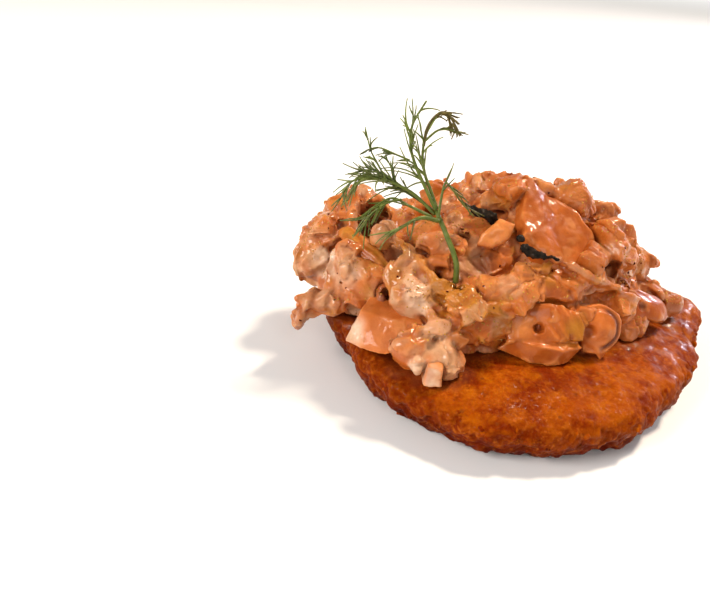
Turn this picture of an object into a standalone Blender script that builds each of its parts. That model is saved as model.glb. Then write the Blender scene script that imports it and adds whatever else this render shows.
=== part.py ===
"""A fried potato pancake under a heap of creamed mushrooms, with a sprig of dill.

Units are metres and +Z is up. The pancake lies on its flat sole, and its front is at -Y.
Every size and place below is first given from the pancake's middle, where its sole is z = 0.
The whole is moved at the end so that its box stands centred on the origin.
"""

import bisect
import math
import random

import bmesh
import bpy
from mathutils import Euler, Matrix, Vector, noise

MM = 0.001
GAP = 0.35 * MM
SEED = 11

# Pancake: the rim is a circle with swellings and hollows,
# each given by its direction in degrees, its depth and its half width in degrees.
PANCAKE_RADIUS = 47.0 * MM
PANCAKE_THICKNESS = 12.0 * MM
RIM_SWELLS = (
    (-30, -9.3 * MM, 38),  # long flattened stretch, front right
    (-128, 3.5 * MM, 22),  # belly, front left
    (10, 5.0 * MM, 7),  # knob, right
    (-55, -1.8 * MM, 4),  # notch, front right
    (-168, 2.2 * MM, 6),  # lacy tip, left
    (-156, -1.8 * MM, 3),  # nick beside the tip
    (100, 1.5 * MM, 30),  # bulge, back
)
RIM_CURL = 1.6 * MM
RIM_CURL_LEFT = 2.6 * MM
RIM_CURL_DIRECTION = -165
RIM_CURL_WIDTH = 28
# Section through the rim, from the sole's edge over the rim to the top:
# each point is a share of the radius and a share of the thickness.
RIM_SECTION = (
    (0.84, 0.0), (0.92, 0.06), (0.97, 0.18), (1.0, 0.38), (0.995, 0.56), (0.965, 0.73), (0.91, 0.86),
    (0.84, 0.94), (0.75, 0.985), (0.64, 1.0), (0.5, 1.0), (0.3, 1.0),
)
PANCAKE_SIDES = 84
RIM_RIPPLE = 1.5 * MM
RIM_RIPPLE_LENGTH = 6.5 * MM
SHRED_RELIEF = 0.8 * MM
SHRED_LENGTH = 6.5 * MM
SHRED_FINER = 2.1

# Heap: its foot is drawn like the rim, round its own middle.
HEAP_MIDDLE = (-8.0 * MM, 2.0 * MM)
HEAP_RADIUS = 32.5 * MM
FOOT_SWELLS = (
    (180, 10.0 * MM, 35),  # long left side
    (-127, 5.0 * MM, 9),  # tongue of cream, front left
    (-75, -8.0 * MM, 25),  # hollow over the bare front
    (5, 3.0 * MM, 25),  # right side
)
HEAP_HEIGHT = 25.0 * MM
HEAP_LEAN = 0.005 / MM
HEAP_LEAN_FROM = -5.0 * MM
HEAP_SHOULDER = 2.6
HEAP_ROUNDNESS = 0.85
HEAP_SIDES = 36
HEAP_RINGS = (0.2, 0.4, 0.58, 0.73, 0.85, 0.93, 0.98, 1.0)
HEAP_FLOOR = 8.0 * MM
HEAP_RELIEF = 1.8 * MM
HEAP_RELIEF_LENGTH = 8.0 * MM

# Pieces coated in cream that are fused to the heap:
# shape, middle (mm), size (mm), turn about X, Y and Z (degrees).
FUSED_PIECES = (
    ("lump", (-52.5, -3, 18.5), (11, 11, 12), (0, 0, 0)),  # pale lobe over the left rim
    ("lump", (-50, -1, 26), (13, 12, 10), (0, -20, 10)),
    ("chunk", (-46, 7, 28), (13, 12, 9), (10, -15, 30)),
    ("chunk", (-50, -15.5, 15), (12, 7, 6), (10, -8, -10)),  # lower left piece
    ("lump", (-55.2, -17, 11.5), (3.4, 3.4, 7), (0, 0, 0)),  # drip
    ("chunk", (-42.5, -14.5, 21), (15, 9, 12), (-25, 10, -25)),
    ("lump", (-31, -24, 22.5), (12, 9, 9), (0, 30, 0)),
    ("lump", (-31, -30.5, 15.5), (11, 10, 10), (0, 25, 20)),  # tongue of cream
    ("lump", (-25.5, -32, 13.5), (11, 10, 9), (0, 10, 30)),
    ("chunk", (-19.5, -24.5, 19), (13, 9, 12), (-20, 10, 15)),
    ("lump", (-12, -23, 24), (12, 8, 8), (0, 15, 0)),
    ("chunk", (-3, -18.5, 25.5), (18, 7, 6), (-10, 8, 4)),  # ridge over the front slice
    ("lump", (14, -3, 27.5), (14, 10, 10), (0, 35, 0)),
    ("lump", (22, 4, 21.5), (12, 11, 10), (0, 40, 0)),
    ("chunk", (28.5, -1, 15), (11, 10, 7), (0, 30, 20)),  # right foot
    ("lump", (5, 9, 34.5), (9, 10, 9), (0, 0, 0)),  # knobs along the top
    ("lump", (13, 7, 31), (9, 9, 9), (0, 0, 0)),
    ("slice", (-14, 3, 36), (16, 12, 5), (20, -8, 15)),
    ("chunk", (-23, 3, 32.5), (12, 10, 8), (0, -15, 30)),
)
# The rest of the heap is strewn by a rule. Sizes are in millimetres and tilts in degrees.
STREWN_COUNT = 66
STREWN_SIZE = (8.5, 15.0)
STREWN_WIDTH = (0.6, 0.9)
STREWN_FLATNESS = (0.45, 0.85)
STREWN_CLEARANCE = 5.5 * MM
STREWN_TILT = 22
STREWN_SINK = 0.18
STREWN_SHAPES = ("chunk", "lump", "slice", "chunk")
SLOPE_STEPS = 200

# Shapes of the pieces, in shares of their half size.
LUMP_UNEVENNESS = 0.22
LUMP_DETAIL = 1.3
CHUNK_CORNERS = (0.72, 1.0)
CHUNK_BEVEL = 0.24
CAP_POINTS = 9
STALK_WIDTH = (0.36, 0.5)
SLICE_CUP = (-0.35, 0.35)
SLICE_INSET = 0.86
SLICE_EDGE = 0.45
SLICE_THICKNESS = 0.8
STRIP_HEIGHT = 0.72
STRIP_BEND = (0.15, 0.3)
STRIP_STEPS = 6
BOAT_HEIGHT = 0.8
BOAT_BEND = 0.42
BOAT_STEPS = 8
# Section through a strip, in shares of its half width and half height.
STRIP_SECTION = ((-1.0, -0.4), (-0.5, -1.0), (0.6, -1.0), (1.0, 0.0), (0.5, 1.0), (-0.6, 1.0))

# Larger pieces, each its own body: name, shape, middle (mm), size (mm), turn (degrees), colour.
MUSHROOM = (0.66, 0.35, 0.20, 1.0)
PALE_MUSHROOM = (0.75, 0.45, 0.29, 1.0)
ONION = (0.60, 0.32, 0.10, 1.0)
DARK = (0.035, 0.03, 0.02, 1.0)
LOOSE_PIECES = (
    ("mushroom_chunk", "chunk", (-36.5, -25.8, 16), (17, 10, 8.5), (-14, 5, -20), PALE_MUSHROOM),
    ("front_slice", "boat", (-3.5, -25.8, 14.4), (27, 6.5, 6.5), (-24, -4, 14), PALE_MUSHROOM),
    ("gilled_slice", "slice", (8.5, -20.5, 18.5), (11, 16, 4), (62, 10, 18), MUSHROOM),
    ("brim_flap", "strip", (21.5, -9, 19.5), (20, 9, 3), (35, 27, 28), MUSHROOM),
    ("top_slab", "chunk", (3, -7.5, 32.8), (19, 19, 6), (40, 16, 14), MUSHROOM),
    ("onion_strip", "strip", (-42.5, -9.5, 27.5), (16, 6, 2.6), (38, 12, -48), ONION),
    ("pale_shard", "chunk", (-14.2, -14.8, 34.6), (9, 6, 3.2), (50, -28, 10), PALE_MUSHROOM),
    ("dark_strip_left", "strip", (-18, -9.5, 37.2), (9, 3, 1.8), (45, 16, -12), DARK),
    ("dark_strip_right", "strip", (-6.5, -18.6, 32.6), (10, 3, 1.8), (50, 14, -4), DARK),
    ("pale_cube", "chunk", (-27, -37.5, 12.3), (6.5, 6, 6.5), (20, 10, 25), PALE_MUSHROOM),
)

# Dill: points of each stem (mm), its radius at the root (mm), and the pairs of needles on it.
DILL_STEMS = (
    ("stem", ((-22.8, -21.2, 25.5), (-23.4, -20.5, 31), (-25.6, -17.5, 35), (-28, -14.5, 38.5)), 0.75, 0),
    ("mast", ((-28, -14.5, 38.5), (-30.5, -12.5, 45), (-32.6, -10.5, 52), (-32.3, -9, 57.5)), 0.6, 5),
    ("plume", ((-32, -10.8, 51), (-30.6, -10.6, 56), (-27.5, -10.6, 57.5), (-25, -10.4, 54)), 0.5, 5),
    ("left_branch", ((-27.7, -14.8, 38), (-32, -14, 41.5), (-37, -13, 42.5), (-42.5, -12.5, 44)), 0.5, 6),
    ("low_branch", ((-30, -14.5, 40), (-35, -15.5, 39.5), (-40, -15.5, 36.5), (-44, -15, 32.5)), 0.5, 4),
    ("leaf_branch", ((-25.8, -17.8, 35), (-29.5, -19, 36.3), (-33, -20, 35.4), (-37, -19.5, 33)), 0.5, 3),
    ("right_branch", ((-27.9, -14.6, 38.3), (-25.5, -14, 42), (-23, -13.2, 44.5), (-19.5, -12.5, 43.5)),
     0.5, 4),
)
STEM_SIDES = 4
STEM_STEPS = 5
STEM_TAPER = 0.45
NEEDLE_START = 0.18
NEEDLE_LENGTH = 6.5 * MM
NEEDLE_LENGTHS = (0.7, 1.15)
NEEDLE_RADIUS = 0.42 * MM
NEEDLE_SIDES = 3
NEEDLE_LEAN = 42
NEEDLE_LEAN_SPREAD = 12
NEEDLE_DROOP = 0.12
NEEDLE_TAPER = 0.45
DILL_GREEN = (0.10, 0.13, 0.03, 1.0)

PANCAKE_COLOUR = (0.50, 0.17, 0.025, 1.0)
TOPPING_COLOUR = (0.62, 0.33, 0.17, 1.0)
SHARP_ANGLE = math.radians(38)


def clear_scene():
    for item in list(bpy.data.objects):
        bpy.data.objects.remove(item, do_unlink=True)


def make_material(name, colour, roughness):
    material = bpy.data.materials.new(name)
    material.use_nodes = True
    shader = material.node_tree.nodes["Principled BSDF"]
    shader.inputs["Base Color"].default_value = colour
    shader.inputs["Roughness"].default_value = roughness
    shader.inputs["Metallic"].default_value = 0.0
    return material


def make_object(name, shape):
    """Turns a bmesh into a named object in the scene, with its faces pointing out."""
    bmesh.ops.recalc_face_normals(shape, faces=shape.faces)
    mesh = bpy.data.meshes.new(name)
    shape.to_mesh(mesh)
    shape.free()
    item = bpy.data.objects.new(name, mesh)
    bpy.context.scene.collection.objects.link(item)
    return item


def angle_between(first, second):
    """The difference of two directions in degrees, from -180 to 180."""
    return (first - second + 180) % 360 - 180


def outline_radius(base, swells, direction):
    """The radius of a circle with bell-shaped swellings, in one direction in degrees."""
    radius = base
    for middle, depth, width in swells:
        away = angle_between(direction, middle) / width
        radius += depth * math.exp(-0.5 * away * away)
    return radius


def bridge_rings(shape, lower, upper):
    """Joins two rings of as many vertices with quads."""
    count = len(lower)
    for index in range(count):
        after = (index + 1) % count
        shape.faces.new((lower[index], lower[after], upper[after], upper[index]))


def close_ring(shape, ring, point):
    """Closes a ring with a fan to one point."""
    tip = shape.verts.new(point)
    count = len(ring)
    for index in range(count):
        shape.faces.new((ring[index], ring[(index + 1) % count], tip))


# Pancake


def rim_radius(direction):
    smooth = outline_radius(PANCAKE_RADIUS, RIM_SWELLS, direction)
    turn = math.radians(direction)
    reach = smooth / RIM_RIPPLE_LENGTH
    place = Vector((math.cos(turn) * reach, math.sin(turn) * reach, 3.0))
    return smooth + RIM_RIPPLE * noise.noise(place)


def rim_curl(direction, reach):
    """How far the rim's outer part is lifted off what it lies on."""
    sole_edge = RIM_SECTION[0][0]
    share = max(0.0, (reach - sole_edge) / (1.0 - sole_edge))
    away = angle_between(direction, RIM_CURL_DIRECTION) / RIM_CURL_WIDTH
    lift = RIM_CURL + RIM_CURL_LEFT * math.exp(-0.5 * away * away)
    return lift * share * share


def shred_relief(x, y, height):
    place = Vector((x, y, height)) / SHRED_LENGTH
    return SHRED_RELIEF * (noise.noise(place) + 0.5 * noise.noise(place * SHRED_FINER))


def make_pancake():
    shape = bmesh.new()
    rings = []
    for reach, rise in RIM_SECTION:
        ring = []
        for side in range(PANCAKE_SIDES):
            direction = 360.0 * side / PANCAKE_SIDES
            turn = math.radians(direction)
            radius = rim_radius(direction) * reach
            x = radius * math.cos(turn)
            y = radius * math.sin(turn)
            height = PANCAKE_THICKNESS * rise
            if rise > 0:
                height += shred_relief(x, y, height) * min(1.0, 2 * rise) + rim_curl(direction, reach)
            ring.append(shape.verts.new((x, y, height)))
        rings.append(ring)
    for lower, upper in zip(rings, rings[1:]):
        bridge_rings(shape, lower, upper)
    close_ring(shape, rings[-1], (0, 0, PANCAKE_THICKNESS))
    shape.faces.new(reversed(rings[0]))
    pancake = make_object("pancake", shape)
    pancake.data.materials.append(make_material("fried_potato", PANCAKE_COLOUR, 0.45))
    return pancake


# Heap of creamed mushrooms


def foot_radius(direction):
    return outline_radius(HEAP_RADIUS, FOOT_SWELLS, direction)


def heap_height(direction, share):
    """Height of the heap's surface above the sole, at a share of the way out to its foot."""
    x = HEAP_MIDDLE[0] + foot_radius(direction) * share * math.cos(math.radians(direction))
    lean = 1.0 + HEAP_LEAN * min(0.0, x - HEAP_LEAN_FROM)
    rise = HEAP_HEIGHT * lean * (1.0 - share ** HEAP_SHOULDER) ** HEAP_ROUNDNESS
    return PANCAKE_THICKNESS + rise


def heap_point(direction, share):
    turn = math.radians(direction)
    radius = foot_radius(direction) * share
    x = HEAP_MIDDLE[0] + radius * math.cos(turn)
    y = HEAP_MIDDLE[1] + radius * math.sin(turn)
    return Vector((x, y, heap_height(direction, share)))


def make_heap_core():
    shape = bmesh.new()
    rings = []
    for share in HEAP_RINGS:
        ring = []
        for side in range(HEAP_SIDES):
            point = heap_point(360.0 * side / HEAP_SIDES, share)
            relief = noise.noise(point / HEAP_RELIEF_LENGTH)
            point.z += HEAP_RELIEF * relief
            ring.append(shape.verts.new(point))
        rings.append(ring)
    floor = [shape.verts.new((vertex.co.x, vertex.co.y, HEAP_FLOOR)) for vertex in rings[-1]]
    for inner, outer in zip(rings, rings[1:] + [floor]):
        bridge_rings(shape, inner, outer)
    close_ring(shape, list(reversed(rings[0])), heap_point(0, 0))
    shape.faces.new(floor)
    return make_object("mushroom_topping", shape)


# Shapes of the pieces: each fills a box of two units a side, round the origin.


def unit_lump(draw):
    """A rounded, uneven lump."""
    shape = bmesh.new()
    bmesh.ops.create_icosphere(shape, subdivisions=2, radius=1.0)
    offset = Vector((draw.uniform(0, 9), draw.uniform(0, 9), draw.uniform(0, 9)))
    for vertex in shape.verts:
        vertex.co *= 1.0 + LUMP_UNEVENNESS * noise.noise(vertex.co * LUMP_DETAIL + offset)
    return shape


def unit_chunk(draw):
    """A cut block with uneven corners and broken edges."""
    shape = bmesh.new()
    bmesh.ops.create_cube(shape, size=2.0)
    for vertex in shape.verts:
        for axis in range(3):
            vertex.co[axis] *= draw.uniform(*CHUNK_CORNERS)
    bmesh.ops.bevel(
        shape, geom=shape.edges[:], offset=CHUNK_BEVEL, offset_type="OFFSET",
        segments=1, profile=0.5, affect="EDGES",
    )
    return shape


def extrude_outline(outline):
    """A flat piece with a chamfer round both faces."""
    shape = bmesh.new()
    rings = []
    for inset, height in ((SLICE_INSET, -1.0), (1.0, -SLICE_EDGE), (1.0, SLICE_EDGE), (SLICE_INSET, 1.0)):
        ring = [shape.verts.new((x * inset, y * inset, height)) for x, y in outline]
        rings.append(ring)
    for lower, upper in zip(rings, rings[1:]):
        bridge_rings(shape, lower, upper)
    shape.faces.new(reversed(rings[0]))
    shape.faces.new(rings[-1])
    return shape


def unit_slice(draw):
    """A slice through a mushroom: a domed cap over a short stalk, a little cupped."""
    outline = []
    for step in range(CAP_POINTS):
        turn = math.pi * step / (CAP_POINTS - 1)
        outline.append((math.cos(turn), 0.1 + 0.9 * math.sin(turn)))
    stalk = draw.uniform(*STALK_WIDTH)
    outline += [(-0.9, -0.2), (-stalk, -0.3), (-stalk, -0.9), (stalk, -0.95), (stalk, -0.3), (0.9, -0.2)]
    shape = extrude_outline(outline)
    cup = draw.uniform(*SLICE_CUP)
    for vertex in shape.verts:
        vertex.co.z += cup * (vertex.co.x ** 2 - 0.5)
        vertex.co.z *= SLICE_THICKNESS
    return shape


def sweep_band(half_height, bend, steps):
    """A band along X with narrow ends, which are bent up."""
    shape = bmesh.new()
    rings = []
    for step in range(steps + 1):
        along = -1.0 + 2.0 * step / steps
        wide = 1.0 - 0.75 * abs(along) ** 3
        high = half_height * (1.0 - 0.5 * abs(along) ** 3)
        lift = bend * (along * along - 0.5)
        ring = []
        for across, rise in STRIP_SECTION:
            ring.append(shape.verts.new((along, across * wide, rise * high + lift)))
        rings.append(ring)
    for lower, upper in zip(rings, rings[1:]):
        bridge_rings(shape, lower, upper)
    shape.faces.new(reversed(rings[0]))
    shape.faces.new(rings[-1])
    return shape


def unit_strip(draw):
    """A strip of onion or of a mushroom's brim."""
    return sweep_band(STRIP_HEIGHT, draw.uniform(*STRIP_BEND), STRIP_STEPS)


def unit_boat(draw):
    """A long slice with both ends turned up."""
    return sweep_band(BOAT_HEIGHT, BOAT_BEND, BOAT_STEPS)


SHAPES = {
    "lump": unit_lump,
    "chunk": unit_chunk,
    "slice": unit_slice,
    "strip": unit_strip,
    "boat": unit_boat,
}


def turn_by(degrees):
    return Euler([math.radians(value) for value in degrees]).to_matrix()


def make_piece(name, kind, middle, size, turn, draw):
    """One piece of a kind, with its middle and size in millimetres and its turn as a matrix."""
    shape = SHAPES[kind](draw)
    scale = Matrix.Diagonal(Vector(size) * (MM / 2)).to_4x4()
    place = Matrix.Translation(Vector(middle) * MM)
    bmesh.ops.transform(shape, matrix=place @ turn.to_4x4() @ scale, verts=shape.verts)
    return make_object(name, shape)


def even_shares(count):
    """Shares of the way out to the foot, spaced so that each piece gets the same area of the slope."""
    areas = [0.0]
    for step in range(SLOPE_STEPS):
        inner = step / SLOPE_STEPS
        outer = (step + 1) / SLOPE_STEPS
        drop = heap_height(90, inner) - heap_height(90, outer)
        slant = math.hypot(HEAP_RADIUS * (outer - inner), drop)
        areas.append(areas[-1] + (inner + outer) * slant)
    return [bisect.bisect(areas, areas[-1] * (index + 0.5) / count) / SLOPE_STEPS for index in range(count)]


def heap_normal(direction, share):
    """The way that the heap's surface faces."""
    share = min(share, 0.98)
    outwards = heap_point(direction, share + 0.02) - heap_point(direction, share - 0.02)
    along = heap_point(direction + 3, share) - heap_point(direction - 3, share)
    return outwards.cross(along).normalized()


def strewn_pieces(draw):
    """Pieces spread over the heap on a golden-angle spiral, clear of those placed by hand."""
    taken = [Vector(row[1]) * MM for row in FUSED_PIECES]
    taken += [Vector(row[2]) * MM for row in LOOSE_PIECES]
    taken += [Vector(point) * MM for point in DILL_STEMS[0][1][:2]]
    golden = 180.0 * (3.0 - math.sqrt(5.0))
    pieces = []
    for index, share in enumerate(even_shares(STREWN_COUNT)):
        direction = angle_between(index * golden, 0)
        point = heap_point(direction, share)
        normal = heap_normal(direction, share)
        kind = draw.choice(STREWN_SHAPES)
        length = draw.uniform(*STREWN_SIZE)
        size = (length, length * draw.uniform(*STREWN_WIDTH), length * draw.uniform(*STREWN_FLATNESS))
        tilt = turn_by((draw.gauss(0, STREWN_TILT), draw.gauss(0, STREWN_TILT), draw.uniform(0, 360)))
        if min((point - other).length for other in taken) < STREWN_CLEARANCE:
            continue
        point -= normal * (STREWN_SINK * size[2] * MM)
        turn = normal.to_track_quat("Z", "Y").to_matrix() @ tilt
        pieces.append(make_piece("strewn", kind, point / MM, size, turn, draw))
    return pieces


def apply_boolean(body, tools, operation):
    """Joins or cuts a body with a collection of tools, applies it and removes the tools."""
    group = bpy.data.collections.new("tools")
    bpy.context.scene.collection.children.link(group)
    for tool in tools:
        tool.hide_render = True
        tool.display_type = "WIRE"
        group.objects.link(tool)
    modifier = body.modifiers.new("tools", "BOOLEAN")
    modifier.operand_type = "COLLECTION"
    modifier.collection = group
    modifier.operation = operation
    modifier.solver = "EXACT"
    bpy.context.view_layer.update()
    graph = bpy.context.evaluated_depsgraph_get()
    result = bpy.data.meshes.new_from_object(body.evaluated_get(graph))
    body.modifiers.remove(modifier)
    body.data = result
    for tool in tools:
        bpy.data.objects.remove(tool, do_unlink=True)
    bpy.data.collections.remove(group)


def grown_copy(body):
    """A copy whose faces stand one gap further out, to cut a seat for the body."""
    shape = bmesh.new()
    shape.from_mesh(body.data)
    shape.normal_update()
    moves = [vertex.normal * (GAP * min(vertex.calc_shell_factor(), 1.6)) for vertex in shape.verts]
    for vertex, move in zip(shape.verts, moves):
        vertex.co += move
    return make_object("seat_cutter", shape)


def keep_largest(body):
    """Drops loose scraps and sealed hollows that a cut left behind."""
    shape = bmesh.new()
    shape.from_mesh(body.data)
    bmesh.ops.triangulate(shape, faces=shape.faces[:])
    unseen = set(shape.verts)
    groups = []
    while unseen:
        front = [unseen.pop()]
        group = list(front)
        while front:
            vertex = front.pop()
            for edge in vertex.link_edges:
                other = edge.other_vert(vertex)
                if other in unseen:
                    unseen.remove(other)
                    front.append(other)
                    group.append(other)
        groups.append(group)
    groups.sort(key=len)
    scraps = [vertex for group in groups[:-1] for vertex in group]
    bmesh.ops.delete(shape, geom=scraps, context="VERTS")
    shape.to_mesh(body.data)
    shape.free()


def make_topping(pancake, loose, stem_cutter, draw):
    topping = make_heap_core()
    fused = []
    for kind, middle, size, turns in FUSED_PIECES:
        fused.append(make_piece("fused", kind, middle, size, turn_by(turns), draw))
    fused += strewn_pieces(draw)
    apply_boolean(topping, fused, "UNION")
    seats = [grown_copy(pancake), stem_cutter]
    seats += [grown_copy(piece) for piece in loose]
    apply_boolean(topping, seats, "DIFFERENCE")
    keep_largest(topping)
    topping.data.materials.clear()
    topping.data.materials.append(make_material("mushroom_cream", TOPPING_COLOUR, 0.35))
    return topping


def make_loose_pieces(pancake, draw):
    """The larger pieces, each cut clear of the pancake and of the pieces before it."""
    pieces = []
    for name, kind, middle, size, turns, colour in LOOSE_PIECES:
        piece = make_piece(name, kind, middle, size, turn_by(turns), draw)
        apply_boolean(piece, [grown_copy(other) for other in [pancake] + pieces], "DIFFERENCE")
        keep_largest(piece)
        piece.data.materials.clear()
        piece.data.materials.append(make_material(name, colour, 0.4))
        pieces.append(piece)
    return pieces


# Dill


def smooth_route(points, steps):
    """Points along a Catmull-Rom curve through the given ones."""
    ends = [points[0] * 2 - points[1]] + points + [points[-1] * 2 - points[-2]]
    route = []
    spans = len(points) - 1
    for step in range(steps + 1):
        place = spans * step / steps
        span = min(int(place), spans - 1)
        t = place - span
        a, b, c, d = ends[span:span + 4]
        route.append(0.5 * (2 * b + (c - a) * t + (2 * a - 5 * b + 4 * c - d) * t * t
                            + (3 * b - a - 3 * c + d) * t ** 3))
    return route


def make_tube(name, route, radii, sides):
    """A closed tube along a route, with a radius at each of its points."""
    shape = bmesh.new()
    rings = []
    for index, point in enumerate(route):
        ahead = route[min(index + 1, len(route) - 1)] - route[max(index - 1, 0)]
        turn = ahead.to_track_quat("Z", "X").to_matrix()
        ring = []
        for side in range(sides):
            round_it = 2 * math.pi * side / sides
            offset = Vector((math.cos(round_it), math.sin(round_it), 0)) * radii[index]
            ring.append(shape.verts.new(point + turn @ offset))
        rings.append(ring)
    for lower, upper in zip(rings, rings[1:]):
        bridge_rings(shape, lower, upper)
    shape.faces.new(reversed(rings[0]))
    shape.faces.new(rings[-1])
    return make_object(name, shape)


def make_stem(points, root_radius, extra=0.0):
    route = smooth_route([Vector(point) * MM for point in points], STEM_STEPS)
    shares = [index / STEM_STEPS for index in range(STEM_STEPS + 1)]
    radii = [root_radius * MM * (1.0 - STEM_TAPER * share) + extra for share in shares]
    return make_tube("stem", route, radii, STEM_SIDES), route


def make_needles(route, pairs, draw):
    """Pairs of fine needles along a stem, leaning towards its tip."""
    needles = []
    for pair in range(pairs):
        share = NEEDLE_START + (1.0 - NEEDLE_START) * (pair + 0.5) / pairs
        place = share * (len(route) - 1)
        index = min(int(place), len(route) - 2)
        root = route[index].lerp(route[index + 1], place - index)
        ahead = (route[index + 1] - route[index]).normalized()
        side = ahead.orthogonal().normalized()
        side.rotate(Matrix.Rotation(draw.uniform(0, math.pi), 3, ahead))
        for sign in (-1, 1):
            lean = math.radians(NEEDLE_LEAN + draw.uniform(-NEEDLE_LEAN_SPREAD, NEEDLE_LEAN_SPREAD))
            heading = ahead * math.cos(lean) + side * (sign * math.sin(lean))
            length = NEEDLE_LENGTH * draw.uniform(*NEEDLE_LENGTHS)
            tip = root + heading * length - Vector((0, 0, NEEDLE_DROOP * length))
            points = [root, tip]
            radii = [NEEDLE_RADIUS, NEEDLE_RADIUS * NEEDLE_TAPER]
            needles.append(make_tube("needle", points, radii, NEEDLE_SIDES))
    return needles


def make_dill(draw):
    tubes = []
    for name, points, radius, pairs in DILL_STEMS:
        stem, route = make_stem(points, radius)
        tubes.append(stem)
        tubes += make_needles(route, pairs, draw)
    dill = tubes.pop(0)
    dill.name = "dill_sprig"
    apply_boolean(dill, tubes, "UNION")
    keep_largest(dill)
    dill.data.materials.clear()
    dill.data.materials.append(make_material("dill", DILL_GREEN, 0.5))
    return dill


def centre_over_base(items):
    """Moves everything so that the whole's box is centred over the origin."""
    corners = [vertex.co for item in items for vertex in item.data.vertices]
    shift_x = -(min(c.x for c in corners) + max(c.x for c in corners)) / 2
    shift_y = -(min(c.y for c in corners) + max(c.y for c in corners)) / 2
    move = Matrix.Translation((shift_x, shift_y, 0))
    for item in items:
        item.data.transform(move)


def shade(item):
    item.data.shade_smooth()
    item.data.set_sharp_from_angle(angle=SHARP_ANGLE)


def build():
    clear_scene()
    draw = random.Random(SEED)
    pancake = make_pancake()
    loose = make_loose_pieces(pancake, draw)
    stem_points = DILL_STEMS[0][1]
    stem_radius = DILL_STEMS[0][2]
    stem_cutter = make_stem(stem_points, stem_radius, GAP)[0]
    topping = make_topping(pancake, loose, stem_cutter, draw)
    dill = make_dill(draw)
    items = [pancake, topping, dill] + loose
    centre_over_base(items)
    for item in items:
        shade(item)
    return items


build()
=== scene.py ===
"""Looks of a potato pancake under creamed mushrooms with a sprig of dill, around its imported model.

Lengths are millimetres where nothing else is said, and places are counted from the pancake's middle, with its
sole at z = 0. The points of meshes, and so the spots and routes on them, are metres in the frame.
"""

import math
import random

import bmesh
import bpy
import numpy as np
from mathutils import Euler, Matrix, Vector, noise
from mathutils.bvhtree import BVHTree


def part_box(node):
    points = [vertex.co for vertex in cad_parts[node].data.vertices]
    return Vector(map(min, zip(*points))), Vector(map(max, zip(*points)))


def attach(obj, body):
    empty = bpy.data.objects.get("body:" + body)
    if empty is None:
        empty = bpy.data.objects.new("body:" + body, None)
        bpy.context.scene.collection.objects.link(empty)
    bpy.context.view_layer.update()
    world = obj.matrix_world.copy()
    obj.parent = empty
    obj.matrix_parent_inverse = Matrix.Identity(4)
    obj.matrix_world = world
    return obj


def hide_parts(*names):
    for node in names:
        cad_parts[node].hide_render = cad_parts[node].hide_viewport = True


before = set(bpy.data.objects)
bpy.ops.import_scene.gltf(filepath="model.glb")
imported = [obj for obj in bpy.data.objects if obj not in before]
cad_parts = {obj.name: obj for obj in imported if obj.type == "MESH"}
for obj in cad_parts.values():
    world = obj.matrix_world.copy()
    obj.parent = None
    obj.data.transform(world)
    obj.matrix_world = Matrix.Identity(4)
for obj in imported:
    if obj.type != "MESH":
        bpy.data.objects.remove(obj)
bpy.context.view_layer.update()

MM = 0.001
MIDDLE = Vector((6.0, -1.27, 0.0)) * MM
TOPPING_SEED = 23
DILL_SEED = 11
BEAD_SEED = 1
FLECK_SEED = 2
CRUMB_SEED = 3

# Camera, fitted to the photographed view. Angles are in degrees.
FRAME_WIDTH = 710
FOCAL_PIXELS = 620
SENSOR_WIDTH = 36.0
CAMERA_TILT = 29.77
CAMERA_ROLL = 4.876
CAMERA_PLACE = (-43.0, -134.0, 83.74)

# Lights: name, place (m), size (m), power (W), colour
LIGHTS = (
    ("key", (0.62, 0.40, 1.25), 0.24, 23.0, (1.0, 0.86, 0.67)),
    ("window", (-1.25, -0.60, 0.80), 0.75, 22.5, (1.0, 0.95, 0.89)),
    ("front", (0.35, -1.30, 1.10), 0.60, 4.0, (1.0, 0.97, 0.93)),
    ("rim", (1.10, 0.85, 0.50), 0.16, 5.0, (0.90, 0.85, 1.0)),
)
LIGHTS_AIM = Vector((0, 0, 0.02))
# The sky is lighter up to a height over the horizon, and the floor glows between two distances (m).
SKY_COLOUR = (1.0, 0.98, 0.95)
SKY_STRENGTH = 0.30
HORIZON_STRENGTH = 0.95
HORIZON_REACH = 0.30
FLOOR_SIZE = 16.0
FLOOR_COLOUR = (0.88, 0.88, 0.89)
FAR_FLOOR = (0.9, 3.0)
FAR_FLOOR_GLOW = 0.68

# Fineness of the remeshed skins
PANCAKE_VOXEL = 0.48
TOPPING_VOXEL = 0.31
PIECE_VOXEL = 0.24

# Colours as light that a surface gives back, in linear red, green and blue
GOLDEN = (0.33, 0.060, 0.0012)
YELLOW_GOLD = (0.46, 0.116, 0.002)
PALE_BUBBLE = (0.60, 0.155, 0.015)
TAWNY = (0.185, 0.019, 0.0008)
# Dark browned crust; also painted shade on the pancake's low rim, left side, pits and creases, and on the low
# crumbs.
CRUST_AND_SHADE = (0.072, 0.0036, 0.0003)
BURNT_SPECK = (0.16, 0.035, 0.006)
# Cream; also a painted highlight on the topping's raised edges.
CREAM_AND_HIGHLIGHT = (0.575, 0.200, 0.050)
GREY_CREAM = (0.56, 0.325, 0.185)
WHITE_CREAM = (0.66, 0.445, 0.31)
# Painted shade in a hollow of the topping.
LAVENDER_SHADE = (0.30, 0.125, 0.085)
BEIGE = (0.49, 0.122, 0.017)
PINK_BEIGE = (0.54, 0.155, 0.036)
# Pale beige; also a painted highlight on the larger pieces' raised edges and painted light on the front
# slice's face.
PALE_BEIGE = (0.63, 0.210, 0.050)
TAN = (0.37, 0.080, 0.008)
GOLD_ONION = (0.42, 0.155, 0.014)
# Juice soaked into the pancake by the topping; also painted shade in the topping's gaps, hollows and one
# dent.
JUICE_AND_SHADE = (0.18, 0.034, 0.008)
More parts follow.
